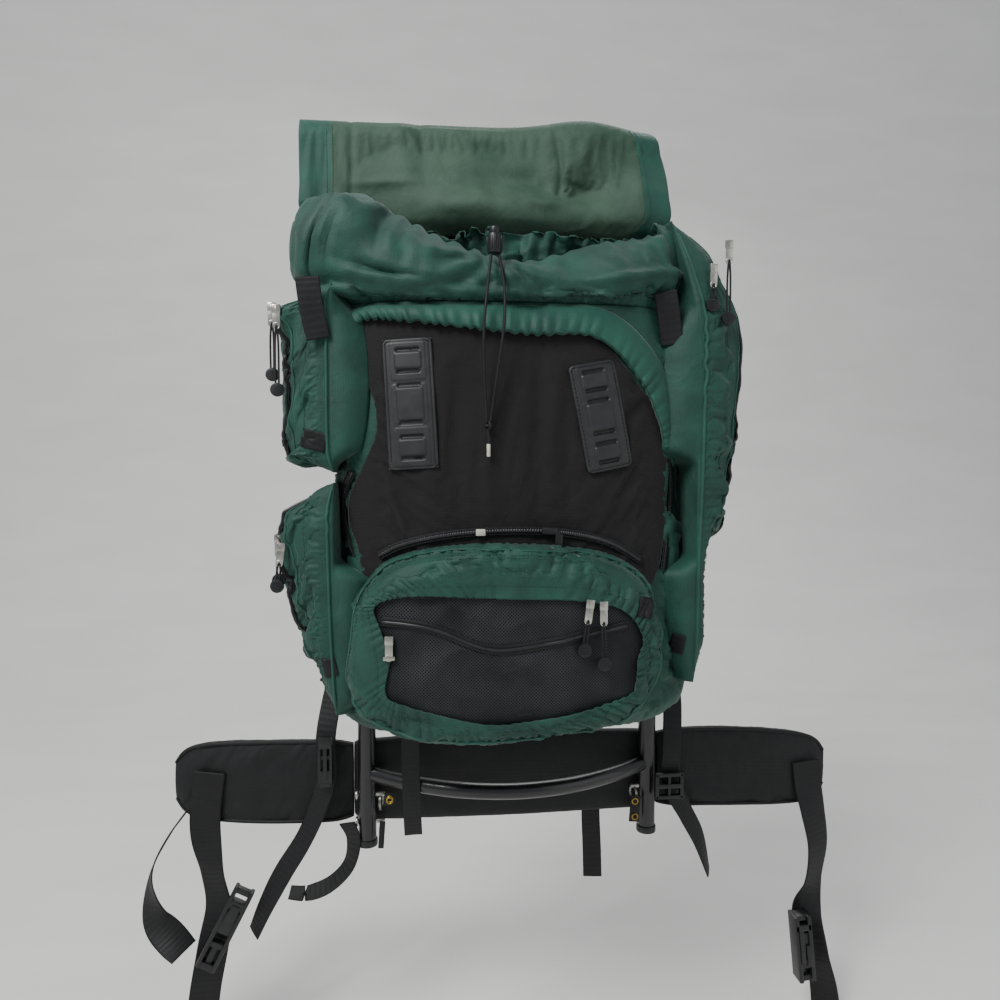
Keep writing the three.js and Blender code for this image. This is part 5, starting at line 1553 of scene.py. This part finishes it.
# %% [markdown]
# ## Side pockets
# Three zipped pockets are sewn to the bag's sides. Each is a bowl of cloth open against the bag,
# full at its middle and closed at its ends, with a zip along its outer face.

# %% Side pockets
UPPER_POCKET = table("at out half", [
    [0.00, 0.30, 0.80],
    [0.08, 0.72, 0.92],
    [0.25, 0.84, 1.00],
    [0.50, 0.80, 1.00],
    [0.75, 0.84, 0.98],
    [0.92, 1.00, 0.90],
    [1.00, 0.86, 0.75],
])
LOWER_POCKET = table("at out half", [
    [0.00, 0.05, 0.80],
    [0.20, 0.34, 0.92],
    [0.42, 0.62, 1.00],
    [0.65, 0.84, 1.00],
    [0.82, 0.94, 0.98],
    [0.94, 0.80, 0.88],
    [1.00, 0.40, 0.80],
])
LONG_POCKET = table("at out half", [
    [0.00, 0.14, 0.85],
    [0.10, 0.26, 0.95],
    [0.26, 0.26, 1.00],
    [0.39, 0.62, 1.00],
    [0.47, 0.80, 1.00],
    [0.66, 1.00, 1.00],
    [0.78, 1.00, 0.95],
    [0.90, 0.74, 0.80],
    [0.97, 0.66, 0.60],
    [1.00, 0.24, 0.50],
])
SIDE_FOLDS = table("across up wide tall depth", [
    [0.35, 0.50, 0.06, 0.35, 4],
    [0.62, 0.60, 0.07, 0.30, 5],
    [0.50, 0.20, 0.20, 0.06, 3],
    [0.45, 0.80, 0.20, 0.05, 3],
    [0.75, 0.70, 0.03, 0.20, 3],
    [0.78, 0.40, 0.03, 0.16, -3],
    [0.86, 0.55, 0.02, 0.30, 3],
    [0.70, 0.15, 0.14, 0.03, 3],
    [0.28, 0.30, 0.12, 0.04, 3],
    [0.22, 0.62, 0.03, 0.22, 3],
    [0.30, 0.84, 0.10, 0.03, -3],
])
SIDE_POCKETS = table("node side rows bottom top lean", [
    ["side_pocket_upper_left", -1, UPPER_POCKET, 0.6144, 1.0414, 0],
    ["side_pocket_lower_left", -1, LOWER_POCKET, 0.0523, 0.5904, 0],
    ["side_pocket_right", 1, LONG_POCKET, 0.1068, 1.2135, 0.25],
])


def side_pocket_at(row, u, v):
    angle = u * math.pi
    z = BAG_BOTTOM + BAG_HEIGHT * (row["bottom"] + (row["top"] - row["bottom"]) * v)
    half = 52 * read(row["rows"], "half", v)
    close = min(1, math.sin(math.pi * min(max(v, 0.001), 0.999)) * 3.2) ** 0.6
    out = 68 * read(row["rows"], "out", v) * close * math.sin(angle) ** 0.7
    fold = folds_at(SIDE_FOLDS, u, v) * math.sin(angle)
    seat_x = BAG_WIDTH / 2 - 12 - row["lean"] * max(0, z - BAG_TOP)
    y = -92 - row["side"] * half * signed_power(math.cos(angle), 0.8)
    ridge = 0.7 * crumple(u * 160, v * 300, row["side"] * 50, 26, seed=4) * math.sin(angle)
    return Vector((row["side"] * (seat_x + 6 + out - fold + ridge) - FRONT_SKEW / 2, y, z))


GUSSET = 38


def gusseted(row, u, v):
    """The pocket with a gusset along its front edge, which joins it to the bag's front."""
    share = u if row["side"] > 0 else 1 - u
    inner = (share - 0.14) / 0.86
    across = min(max(inner, 1e-4), 1 - 1e-4)
    edge = side_pocket_at(row, across if row["side"] > 0 else 1 - across, v)
    if inner > 0:
        return edge
    closed = math.sin(math.pi * min(max(v, 0.02), 0.98)) ** 0.3
    above = min(max((edge.z - BAG_TOP + 20) / 60, 0), 1)
    beside_zip = step_up(edge.z, 352, 376) * (1 - step_up(edge.z, 470, 492))
    x = edge.x - row["side"] * GUSSET * closed * (1 - 0.6 * above) * (1 - 0.86 * beside_zip)
    y = front_y(x, edge.z) - 1.2 + 30 * above
    bend = 1 - share / 0.14
    place = edge.lerp(Vector((x, y, edge.z)), bend)
    place.y -= 5 * math.sin(math.pi * bend) * (1 - above)
    return place


side_cloths = []
for row in SIDE_POCKETS:
    made = piece(
        sheet(lambda u, v, row=row: gusseted(row, u, v), 110, 130),
        row["node"] + "_cloth",
        packcloth,
        [row["node"]],
    )
    side_cloths.append(made)
print("pockets made")

# %% [markdown]
# ## Straps
# All the webbing hangs by its own weight. Each strap is a flat ribbon on its given route,
# turned where the photograph shows it twist, and moved so that its box's middle lies where its solid's does.

# %% Webbing
STRAPS = [
    ("belt_webbing_left", 38, [
        (-372, 13, 92, 0), (-378, 12, 46, 0), (-378, 12, 10, 5), (-371, 11, -35, 30),
        (-363, 8, -80, 20), (-371, 6, -130, -10), (-380, 4, -180, -20), (-386, 2, -232, -15),
    ]),
    ("belt_tail_left", 38, [
        (-405, 33, 30, 84), (-424, 28, 4, 84), (-441, 20, -30, 78), (-444, 14, -62, 55),
        (-436, 6, -92, 20), (-416, -2, -112, -15), (-399, -9, -126, -40),
    ]),
    ("belt_webbing_right", 38, [
        (404, 15, 74, 0), (408, 14, 40, 0), (414, 12, 8, -12), (421, 10, -40, -24), (414, 8, -90, -28),
        (405, 6, -130, 20), (417, 4, -180, 55), (428, 2, -226, 50), (432, 0, -262, 40),
    ]),
    ("shoulder_webbing_left", 25, [
        (-213.8, 35.4, 209.9, 0), (-222, 18, 176, 0), (-228, -1, 134, 0), (-228, -2, 84, 10),
        (-238, -2, 48, 24), (-256, -2, 8, 32), (-282, -2, -34, 20), (-303, -2, -74, 40), (-318, -2, -108, 55),
    ]),
    ("shoulder_tail_left", 25, [
        (-205, -2, 30, 30), (-197, -2, 8, 42), (-203, -4, -22, 58), (-225, -6, -44, 64),
        (-252, -6, -54, 74), (-275, -6, -52, 82),
    ]),
    ("shoulder_webbing_right", 25, [
        (213.8, 35.4, 209.9, 0), (215, 12, 168, 0), (208, -10, 110, 0), (207, -12, 66, -6),
        (228, -8, 24, -30), (248, -2, -14, -40), (262, -2, -60, -66),
    ]),
    ("top_strap_left", 25, [
        (-223.9, -149.8, 664, -8), (-219.9, -149.8, 634, -8), (-213.1, -148.3, 602, -14),
    ]),
    ("top_strap_right", 25, [(152, -146.9, 660, 12), (157.2, -144, 634, 16), (162.8, -139.7, 604, 20)]),
    ("bottom_lash_strap", 22, [
        (-124, -54.7, 181, 0), (-124, -54.7, 130, 0), (-123, -54.7, 90, 0), (-122, -51.7, 56, 0),
        (-121, -45.7, 30, 0),
    ]),
    ("lumbar_tail", 25, [(112, 40, 40, 0), (112, 38, 6, 0), (113, 35, -30, 6), (114, 34, -72, 10)]),
]


def ribbon(route, width, rows):
    def at(u, v):
        ahead = heading(route, v)
        across = (Vector((1, 0, 0)) - ahead * ahead.x).normalized()
        across.rotate(Matrix.Rotation(math.radians(along(route, v)[3]), 3, ahead))
        cup = 0.5 * math.sin(u * math.pi) * math.sin(v * 9 + width)
        return Vector(along(route, v)[:3]) + across * ((u - 0.5) * width) + ahead.cross(across) * cup

    return sheet(at, 14, rows)


for node, width, route in STRAPS:
    length = sum((Vector(b[:3]) - Vector(a[:3])).length for a, b in zip(route, route[1:]))
    made = piece(
        seat_like(ribbon(route, width - 0.8, int(length / 3.5) + 6), node),
        node + "_ribbon",
        webbing,
        [node],
    )
    thicken(made, 1.5, offset=0)
print("straps:", len(STRAPS))

# %% [markdown]
# ## Buckles
# Plain acetal buckles. Each is built from rails and bars like its moulding, in its own place.


# %% Buckles
def framed(node, rails, bars, rail_width, thickness, turn=0.0, extra=()):
    """A ladder-like buckle that fills its solid's box: rails along it and bars across it."""
    low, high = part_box(node)
    middle = (low + high) / 2 / MM
    middle = (middle.x, middle.y + PAD_FACE, middle.z + PAD_MIDDLE)
    length, width, meshes = rails[0], rails[1], []
    tilt = math.radians(turn)

    def put(across, up):
        x = middle[0] + across * math.cos(tilt) + up * math.sin(tilt)
        return x, middle[1], middle[2] + up * math.cos(tilt) - across * math.sin(tilt)

    for side in (-1, 1):
        meshes.append(
            block(rail_width, thickness, length, put(side * (width - rail_width) / 2, 0), turn, bevel=1.3)
        )
    for up, tall, deep in bars:
        meshes.append(block(width - 1, thickness * deep, tall, put(0, up * length), turn, bevel=1.1))
    for across, up, wide, tall, deep in extra:
        meshes.append(block(wide, thickness * deep, tall, put(across * width, up * length), turn, bevel=1.2))
    return joined(meshes)


BUCKLES = {
    "belt_buckle_left": framed(
        "belt_buckle_left",
        (110, 25),
        [(-0.46, 9, 0.8), (-0.2, 7, 0.7), (0.08, 30, 0.75), (0.30, 10, 0.9), (0.46, 8, 0.6)],
        5,
        12,
        turn=27,
        extra=[(0, -0.34, 8, 26, 0.5), (0, 0.2, 12, 22, 1.1)],
    ),
    "belt_buckle_right": framed(
        "belt_buckle_right",
        (90, 23),
        [(-0.45, 8, 0.7), (-0.22, 12, 0.9), (0.05, 34, 0.8), (0.33, 9, 1.0), (0.46, 7, 0.7)],
        6,
        22,
        turn=-6,
        extra=[(-0.2, 0.05, 9, 46, 1.0), (0.22, -0.1, 8, 30, 1.05)],
    ),
    "slide_buckle_left": framed(
        "slide_buckle_left",
        (60, 17),
        [(-0.46, 6, 1.0), (-0.3, 16, 0.9), (0.1, 5, 0.6), (0.40, 14, 1.2)],
        3.5,
        7,
        extra=[(0, 0.0, 5, 44, 1.1)],
    ),
    "ladder_buckle_right": framed(
        "ladder_buckle_right",
        (33, 37),
        [(-0.43, 5, 1.0), (0.0, 6, 1.1), (0.43, 5, 1.0)],
        5,
        7,
        extra=[(0, 0.0, 4, 30, 0.8)],
    ),
}
for node, mesh in BUCKLES.items():
    piece(mesh, node + "_moulding", acetal, [node], crisp=40)

# %% [markdown]
# ## Zip pulls
# A nickel slider with a long tab, a loop of black cord through it, and a ribbed rubber button. The
# button's ribs stop fingers from slipping.

# %% Zip pulls
PULLS = table("node x y z drop lean button", [
    ["mesh_pull", -143.1, -205, 302.9, 30, 0, 0],
    ["pocket_pull_left", 59.9, -206, 338.2, 42, -7, 1],
    ["pocket_pull_right", 73.2, -206, 335.9, 54, 1, 1],
    ["upper_side_pull_front", -281, -104, 646.2, 66, 0, 1],
    ["upper_side_pull_rear", -274.2, -126, 640.2, 78, 0, 1],
    ["lower_side_pull_front", -272.2, -112, 400.2, 40, 0, 1],
    ["lower_side_pull_rear", -262.1, -126, 391.9, 36, -6, 1],
    ["long_pull_upper", 221.9, -152, 716, 74, 0, 1],
    ["long_pull_lower", 205, -152, 689.8, 34, -2, 1],
])


def pull_offset(node, meshes):
    """How far pieces must move for their common box to have its solid's middle."""
    points = [vert.co for mesh in meshes for vert in mesh.verts]
    low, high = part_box(node)
    own = [(min(p[i] for p in points) + max(p[i] for p in points)) / 2 for i in range(3)]
    return (low + high) / 2 - Vector(own)


for row in PULLS:
    lean = math.radians(row["lean"])

    def down(length, ahead=0.0, row=row, lean=lean):
        return row["x"] + math.sin(lean) * length, row["y"] + ahead, row["z"] - math.cos(lean) * length

    turn = -row["lean"]
    slider = [
        block(9.0, 2.8, 9.5, down(4), turn, bevel=1.2),
        block(3.4, 3.6, 7, down(5), turn, bevel=1.1),
        block(8.0, 1.3, 17, down(14), turn, bevel=0.6),
        ring(3.2, 1.6, down(21.5), axis="Y", sides=20),
    ]
    cords, buttons = [], []
    if row["button"]:
        end = row["drop"] + 7.5
        for side in (-1, 1):
            x_shift = side * 1.7
            line = [down(20), down(22 + 0.3 * (end - 22)), down(end - 6), down(end - 2)]
            bulges = (0.2, 1.0, 1.0, 0.5)
            line = [(x + x_shift * bulge, y, z) for (x, y, z), bulge in zip(line, bulges, strict=True)]
            cords.append(swept(line, 1.1, 10, 24))
        buttons.append(barrel(7.3, 4.2, down(end + 2), axis="Y", sides=32, bevel=1.0))
        for rib in (-4, -2, 0, 2, 4):
            wide = 2 * math.sqrt(7.0**2 - rib**2) - 1.5
            x, y, z = down(end + 2 + rib)
            buttons.append(block(wide, 5.2, 0.9, (x, y, z), turn, bevel=0.3))
    else:
        slider.append(block(12, 3, 4.4, down(22), turn, bevel=1.0))
    shift = pull_offset(row["node"], slider + cords + buttons)
    for mesh in slider + cords + buttons:
        bmesh.ops.translate(mesh, verts=mesh.verts, vec=shift)
    piece(joined(slider), row["node"] + "_slider", nickel, [row["node"]], crisp=40)
    if row["button"]:
        piece(joined(cords), row["node"] + "_loop", braid)
        piece(joined(buttons), row["node"] + "_button", acetal, crisp=40)
print("pulls:", len(PULLS))

# %% [markdown]
# ## The cord lock
# A spring lock: a fluted barrel with a button in its end, and the cord through its cross hole.

# %% Cord lock
LOCK = (-34.2, -161, 699.6)
lock_button = barrel(5.4, 8, (LOCK[0], LOCK[1], LOCK[2] + 13), bevel=1.4)
lock_parts = [barrel(7.4, 20, LOCK, sides=32, bevel=1.6), lock_button]
for i in range(12):
    angle = i / 12 * 2 * math.pi
    x, y = LOCK[0] + 7.4 * math.cos(angle), LOCK[1] + 7.4 * math.sin(angle)
    lock_parts.append(block(1.6, 1.6, 14, (x, y, LOCK[2]), lean=math.degrees(angle), bevel=0.5))
lock_offset = pull_offset("cord_lock", lock_parts)
for mesh in lock_parts:
    bmesh.ops.translate(mesh, verts=mesh.verts, vec=lock_offset)
piece(joined(lock_parts), "cord_lock_moulding", acetal, ["cord_lock"], crisp=40)

# %% [markdown]
# ## Letting the cloth wrinkle
# Each cloth is pinned along its seams. The simulation then lets it grow a little, and the spare
# cloth buckles into the small folds that worn nylon has.

# %% Run the wrinkles
def feet(co):
    """A point of the model back in millimetres above the feet."""
    return co.x / MM, co.y / MM + PAD_FACE, co.z / MM + PAD_MIDDLE


def bag_loose(co):
    x, y, z = feet(co)
    ends = step_up(z, BAG_BOTTOM, BAG_BOTTOM + 30) * (1 - step_up(z, BAG_TOP - 25, BAG_TOP - 2))
    return ends * step_up(-y, 30, 70) * max(step_up(abs(x + 14), 158, 182), 1 - step_up(z, 205, 225))


def collar_loose(co):
    x, y, z = feet(co)
    return step_up(z, BAG_TOP + 3, BAG_TOP + 16) * step_up(-y, 34, 60)


def lid_loose(co):
    x, y, z = feet(co)
    return 0.1 + 0.9 * step_up(-y, -2, 22) * (1 - step_up(z, 850, 880))


def pocket_loose(co):
    x, y, z = feet(co)
    lift = front_y(x, z) - y
    rim = step_up(lift, 2, 14)
    window_x, window_z = (x - WINDOW_MIDDLE[0]) / 150, (z - WINDOW_MIDDLE[1]) / 84
    return rim * step_up(math.hypot(window_x, window_z), 0.95, 1.12)


def side_loose(co):
    x, y, z = feet(co)
    return step_up(abs(x + 6), 203, 218)


def door_loose(co):
    x, y, z = feet(co)
    return 0.9 * (1 - step_up(abs(x + 14), 130, 165)) * step_up(z, 250, 300) * (1 - step_up(z, 575, 600))


wrinkle(bag, bag_loose, 0.12, 5, bend=0.15)
wrinkle(collar, collar_loose, 0.20, 15, bend=0.12)
wrinkle(lid, lid_loose, 0.035, 6, bend=0.30)
wrinkle(pocket, pocket_loose, 0.13, 6, bend=0.1)
wrinkle(door, door_loose, 0.04, 2.2)
for made in side_cloths:
    wrinkle(made, side_loose, 0.14, 8, bend=0.12)
run_wrinkles()
for made in (bag, collar, pocket, *side_cloths):
    thicken(made, 1.6)
thicken(door, 1.2)
lid_wall = thicken(lid, 1.8).modifiers["wall"]
lid_wall.material_offset = 1
lid_wall.material_offset_rim = 1


# %% [markdown]
# ## Finding the finished cloth
# Seams, tags and stitches lie on cloth that the simulation has moved. A ray is cast at the
# finished cloth from in front or from the side, and what it meets gives the place and the slope.

# %% Touching the cloth
graph = bpy.context.evaluated_depsgraph_get()
plates = [bpy.data.objects[row["node"] + "_plate"] for row in PATCHES]
touched = (bag, collar, lid, pocket, door, flap, net_cloth, *side_cloths, *plates)
trees = {made.name: BVHTree.FromObject(made, graph) for made in touched}


def touch(place, way=(0, 1, 0), names=None):
    """Where a ray towards a place in millimetres meets the cloth first, and the slope there."""
    way = Vector(way).normalized()
    start = spot(*place) - way * 0.15
    best = None
    for name in names or trees:
        hit, normal, _, distance = trees[name].ray_cast(start, way, 0.3)
        if hit is not None and (best is None or distance < best[2]):
            best = (hit, normal if normal.dot(way) < 0 else -normal, distance)
    return best


def traced(places, way=(0, 1, 0), names=None):
    """The places and slopes that a line meets on the cloth."""
    hits = [touch(place, way, names) for place in places]
    return [hit for hit in hits if hit is not None]


def stitch_row(mesh, places, way=(0, 1, 0), names=None, pitch=3.4, thread=0.6):
    """Lays stitches along a line of places, each a short thread that dips in at both ends."""
    hits = traced(places, way, names)
    run = 0.0
    for (a, normal, _), (b, _, _) in zip(hits, hits[1:]):
        length = (b - a).length
        if length < 1e-6 or length > 0.02:
            continue
        count = max(1, round(length / (pitch * MM)))
        ahead = (b - a).normalized()
        side = normal.cross(ahead).normalized()
        turn = Matrix((side, ahead.cross(side), ahead)).transposed().to_4x4()
        for i in range(count):
            middle = a.lerp(b, (i + 0.5) / count) + normal * 0.15 * MM
            size = Matrix.Diagonal((thread * MM, thread * MM, length / count * 0.66, 1))
            bmesh.ops.create_cube(mesh, size=1, matrix=Matrix.Translation(middle) @ turn @ size)
        run += length
    return run


def strip(hits, width, lift):
    """A narrow tape along a traced line."""
    places = [feet(hit[0] + hit[1] * lift * MM) for hit in hits]
    slopes = [tuple(hit[1]) for hit in hits]

    def at(u, v):
        ahead = heading(places, v)
        out = Vector(along(slopes, v)).normalized()
        return Vector(along(places, v)) + ahead.cross(out).normalized() * ((u - 0.5) * width)

    return sheet(at, 6, 4 * len(places))


def rope(hits, radius, lift):
    """A round seam or piping along a traced line."""
    places = [feet(hit[0] + hit[1] * lift * MM) for hit in hits]
    return swept(places, radius, 10, 3 * len(places))


# %% [markdown]
# ## Stitching
# Bag seams are sewn in rows of green thread, the plates in black. A stitch is 3 mm long.

# %% Stitches
green_stitches, black_stitches = bmesh.new(), bmesh.new()
sewn = 0.0
for share in (HEM_SHARE + 0.004, HEM_SHARE - 0.012, 1 - HEM_SHARE * 0.9 - 0.004, 1 - HEM_SHARE * 0.9 + 0.012):
    line = [lid_at(share, 0.02 + 0.44 * i / 40) for i in range(41)]
    sewn += stitch_row(green_stitches, line, names=["lid_cloth"])
for share in (0.44, 0.50):
    arch = [pocket_at(0.74 + 0.46 * i / 90, share) for i in range(91)]
    sewn += stitch_row(green_stitches, arch, names=["lower_pocket_cloth"])
sewn += stitch_row(
    green_stitches, [pocket_at(i / 150, 0.84) for i in range(151)], names=["lower_pocket_cloth"]
)
for share in (0.30, 0.62):
    for row in SIDE_POCKETS:
        turn = share if row["side"] > 0 else 1 - share
        line = [gusseted(row, turn, 0.04 + 0.92 * i / 70) for i in range(71)]
        sewn += stitch_row(green_stitches, line, way=(-row["side"], 0.5, 0), names=[row["node"] + "_cloth"])
hem_line = [(-185 + 370 * i / 90, -150, BAG_TOP - 5) for i in range(91)]
sewn += stitch_row(green_stitches, hem_line, names=["bag_cloth"])
for row in PATCHES:
    middle_x, middle_z = front_place(row)
    lean = math.radians(row["lean"])
    half_x, half_z = PATCH_WIDTH / 2 - 3.4, PATCH_HEIGHT * row["tall"] / 2 - 3.4
    corners = [(-half_x, -half_z), (half_x, -half_z), (half_x, half_z), (-half_x, half_z), (-half_x, -half_z)]
    line = []
    for (ax, az), (bx, bz) in zip(corners, corners[1:]):
        for i in range(24):
            x, z = ax + (bx - ax) * i / 24, az + (bz - az) * i / 24
            place_x = middle_x + x * math.cos(lean) - z * math.sin(lean)
            line.append((place_x, -150, middle_z + x * math.sin(lean) + z * math.cos(lean)))
    sewn += stitch_row(black_stitches, line, names=[row["node"] + "_plate"])
piece(green_stitches, "green_stitching", hem_cloth)
piece(black_stitches, "black_stitching", webbing)
print("sewn:", round(sewn, 2), "metres")

# %% [markdown]
# ## Seams, side zips and tags
# Piping stands up along the pockets' front seams. Each side pocket opens by a zip down its outer
# face, and square tags of black webbing are sewn on at the corners.

# %% Seams, side zips and tags
pipings, tapes, coils = [], [], []
for row in SIDE_POCKETS:
    way = (-row["side"], 0.45, 0)
    names = [row["node"] + "_cloth"]
    for share, radius in ((0.15, 1.8), (0.40, 1.2)):
        turn = share if row["side"] > 0 else 1 - share
        hits = traced([gusseted(row, turn, 0.03 + 0.94 * i / 50) for i in range(51)], way, names)
        pipings.append(rope(hits, radius, lift=0.4))
    line = [gusseted(row, 0.50,0.10 + 0.84 * i / 60) for i in range(61)]
    hits = traced(line, (-row["side"], 0, 0), names)
    tapes.append(strip(hits, 10, 0.9))
    coils.append(rope(hits, 2.0, lift=1.4))
neck = [pocket_at(i / 120, 0.30) for i in range(121)]
pipings.append(rope(traced(neck, names=["lower_pocket_cloth"]), 1.4, lift=0.3))
piece(joined(pipings), "pocket_piping", hem_cloth)
thicken(piece(joined(tapes), "side_zip_tapes", webbing), 0.7, offset=0)
piece(joined(coils), "side_zip_coils", coil)

BAND = [(-150, 317), (-102, 312), (-33, 289), (65, 303), (100, 309)]
band_line = [along([(x, -195, z) for x, z in BAND], i / 40) for i in range(41)]
band_hits = traced(band_line, names=["window_net"])
thicken(piece(strip(band_hits, 10, 1.2), "net_zip_tape", webbing), 0.9, offset=0)
piece(rope(band_hits, 1.8, lift=1.6), "net_zip_coil", coil)

TAGS = table("x z width height turn", [
    [-220, 499, 26, 19, 15],
    [119, 327, 17, 20, 12],
    [172, 276, 12, 22, 6],
    [-206, 262, 14, 20, -14],
])
tags = []
for row in TAGS:
    turn = math.radians(row["turn"])

    def tag_at(u, v, row=row, turn=turn):
        x, z = (u - 0.5) * row["width"], (v - 0.5) * row["height"]
        place_x = row["x"] + x * math.cos(turn) + z * math.sin(turn)
        place_z = row["z"] + z * math.cos(turn) - x * math.sin(turn)
        hit = touch((place_x, -150, place_z))
        if hit is None:
            return Vector((place_x, front_y(place_x, place_z) - 3, place_z))
        return Vector(feet(hit[0] + hit[1] * 1.0 * MM))

    tags.append(sheet(tag_at, 10, 10))
thicken(piece(joined(tags), "sewn_tags", webbing), 1.0, offset=0)

# %% [markdown]
# ## Small fittings
# The pocket's zip has a black slider with a tab and a pale end stop. Brass grommets in webbing
# tabs hold the bag to its pins, and a short tab hangs from the left split ring.

# %% Small fittings
slider_y = front_y(23, 405) - 7.5
slider = [
    block(17, 4.5, 8, (23, slider_y, 405), turn=3, bevel=1.6),
    block(6, 3, 5, (31, slider_y - 2, 403), bevel=1.2),
    block(8, 1.8, 22, (32, slider_y - 2.5, 391), turn=4, bevel=0.8),
]
piece(joined(slider), "pocket_zip_slider", acetal, crisp=40)
stop = block(10, 2.4, 7, (-49, front_y(-49, 404) - 5.5, 404), bevel=0.9)
piece(stop, "pocket_zip_stop", pale_plastic, crisp=40)
TABS = table("x y z width height", [
    [-160, -14, 18, 7, 34],
    [159, -14, 36, 13, 34],
    [-150, -14, 62, 14, 16],
])
grommet_tabs, grommets = [], []
for row in TABS:
    place = (row["x"], row["y"], row["z"])
    grommet_tabs.append(block(row["width"], 1.8, row["height"], place, turn=4, bevel=0.6))
    if row["width"] > 8:
        up = row["height"] / 2 - 7
        for shift in (up, -up):
            grommets.append(ring(3.6, 2.0, (row["x"], row["y"] - 1.2, row["z"] + shift), axis="Y", sides=24))
piece(joined(grommet_tabs), "grommet_tabs", webbing, crisp=40)
piece(joined(grommets), "brass_grommets", brass)
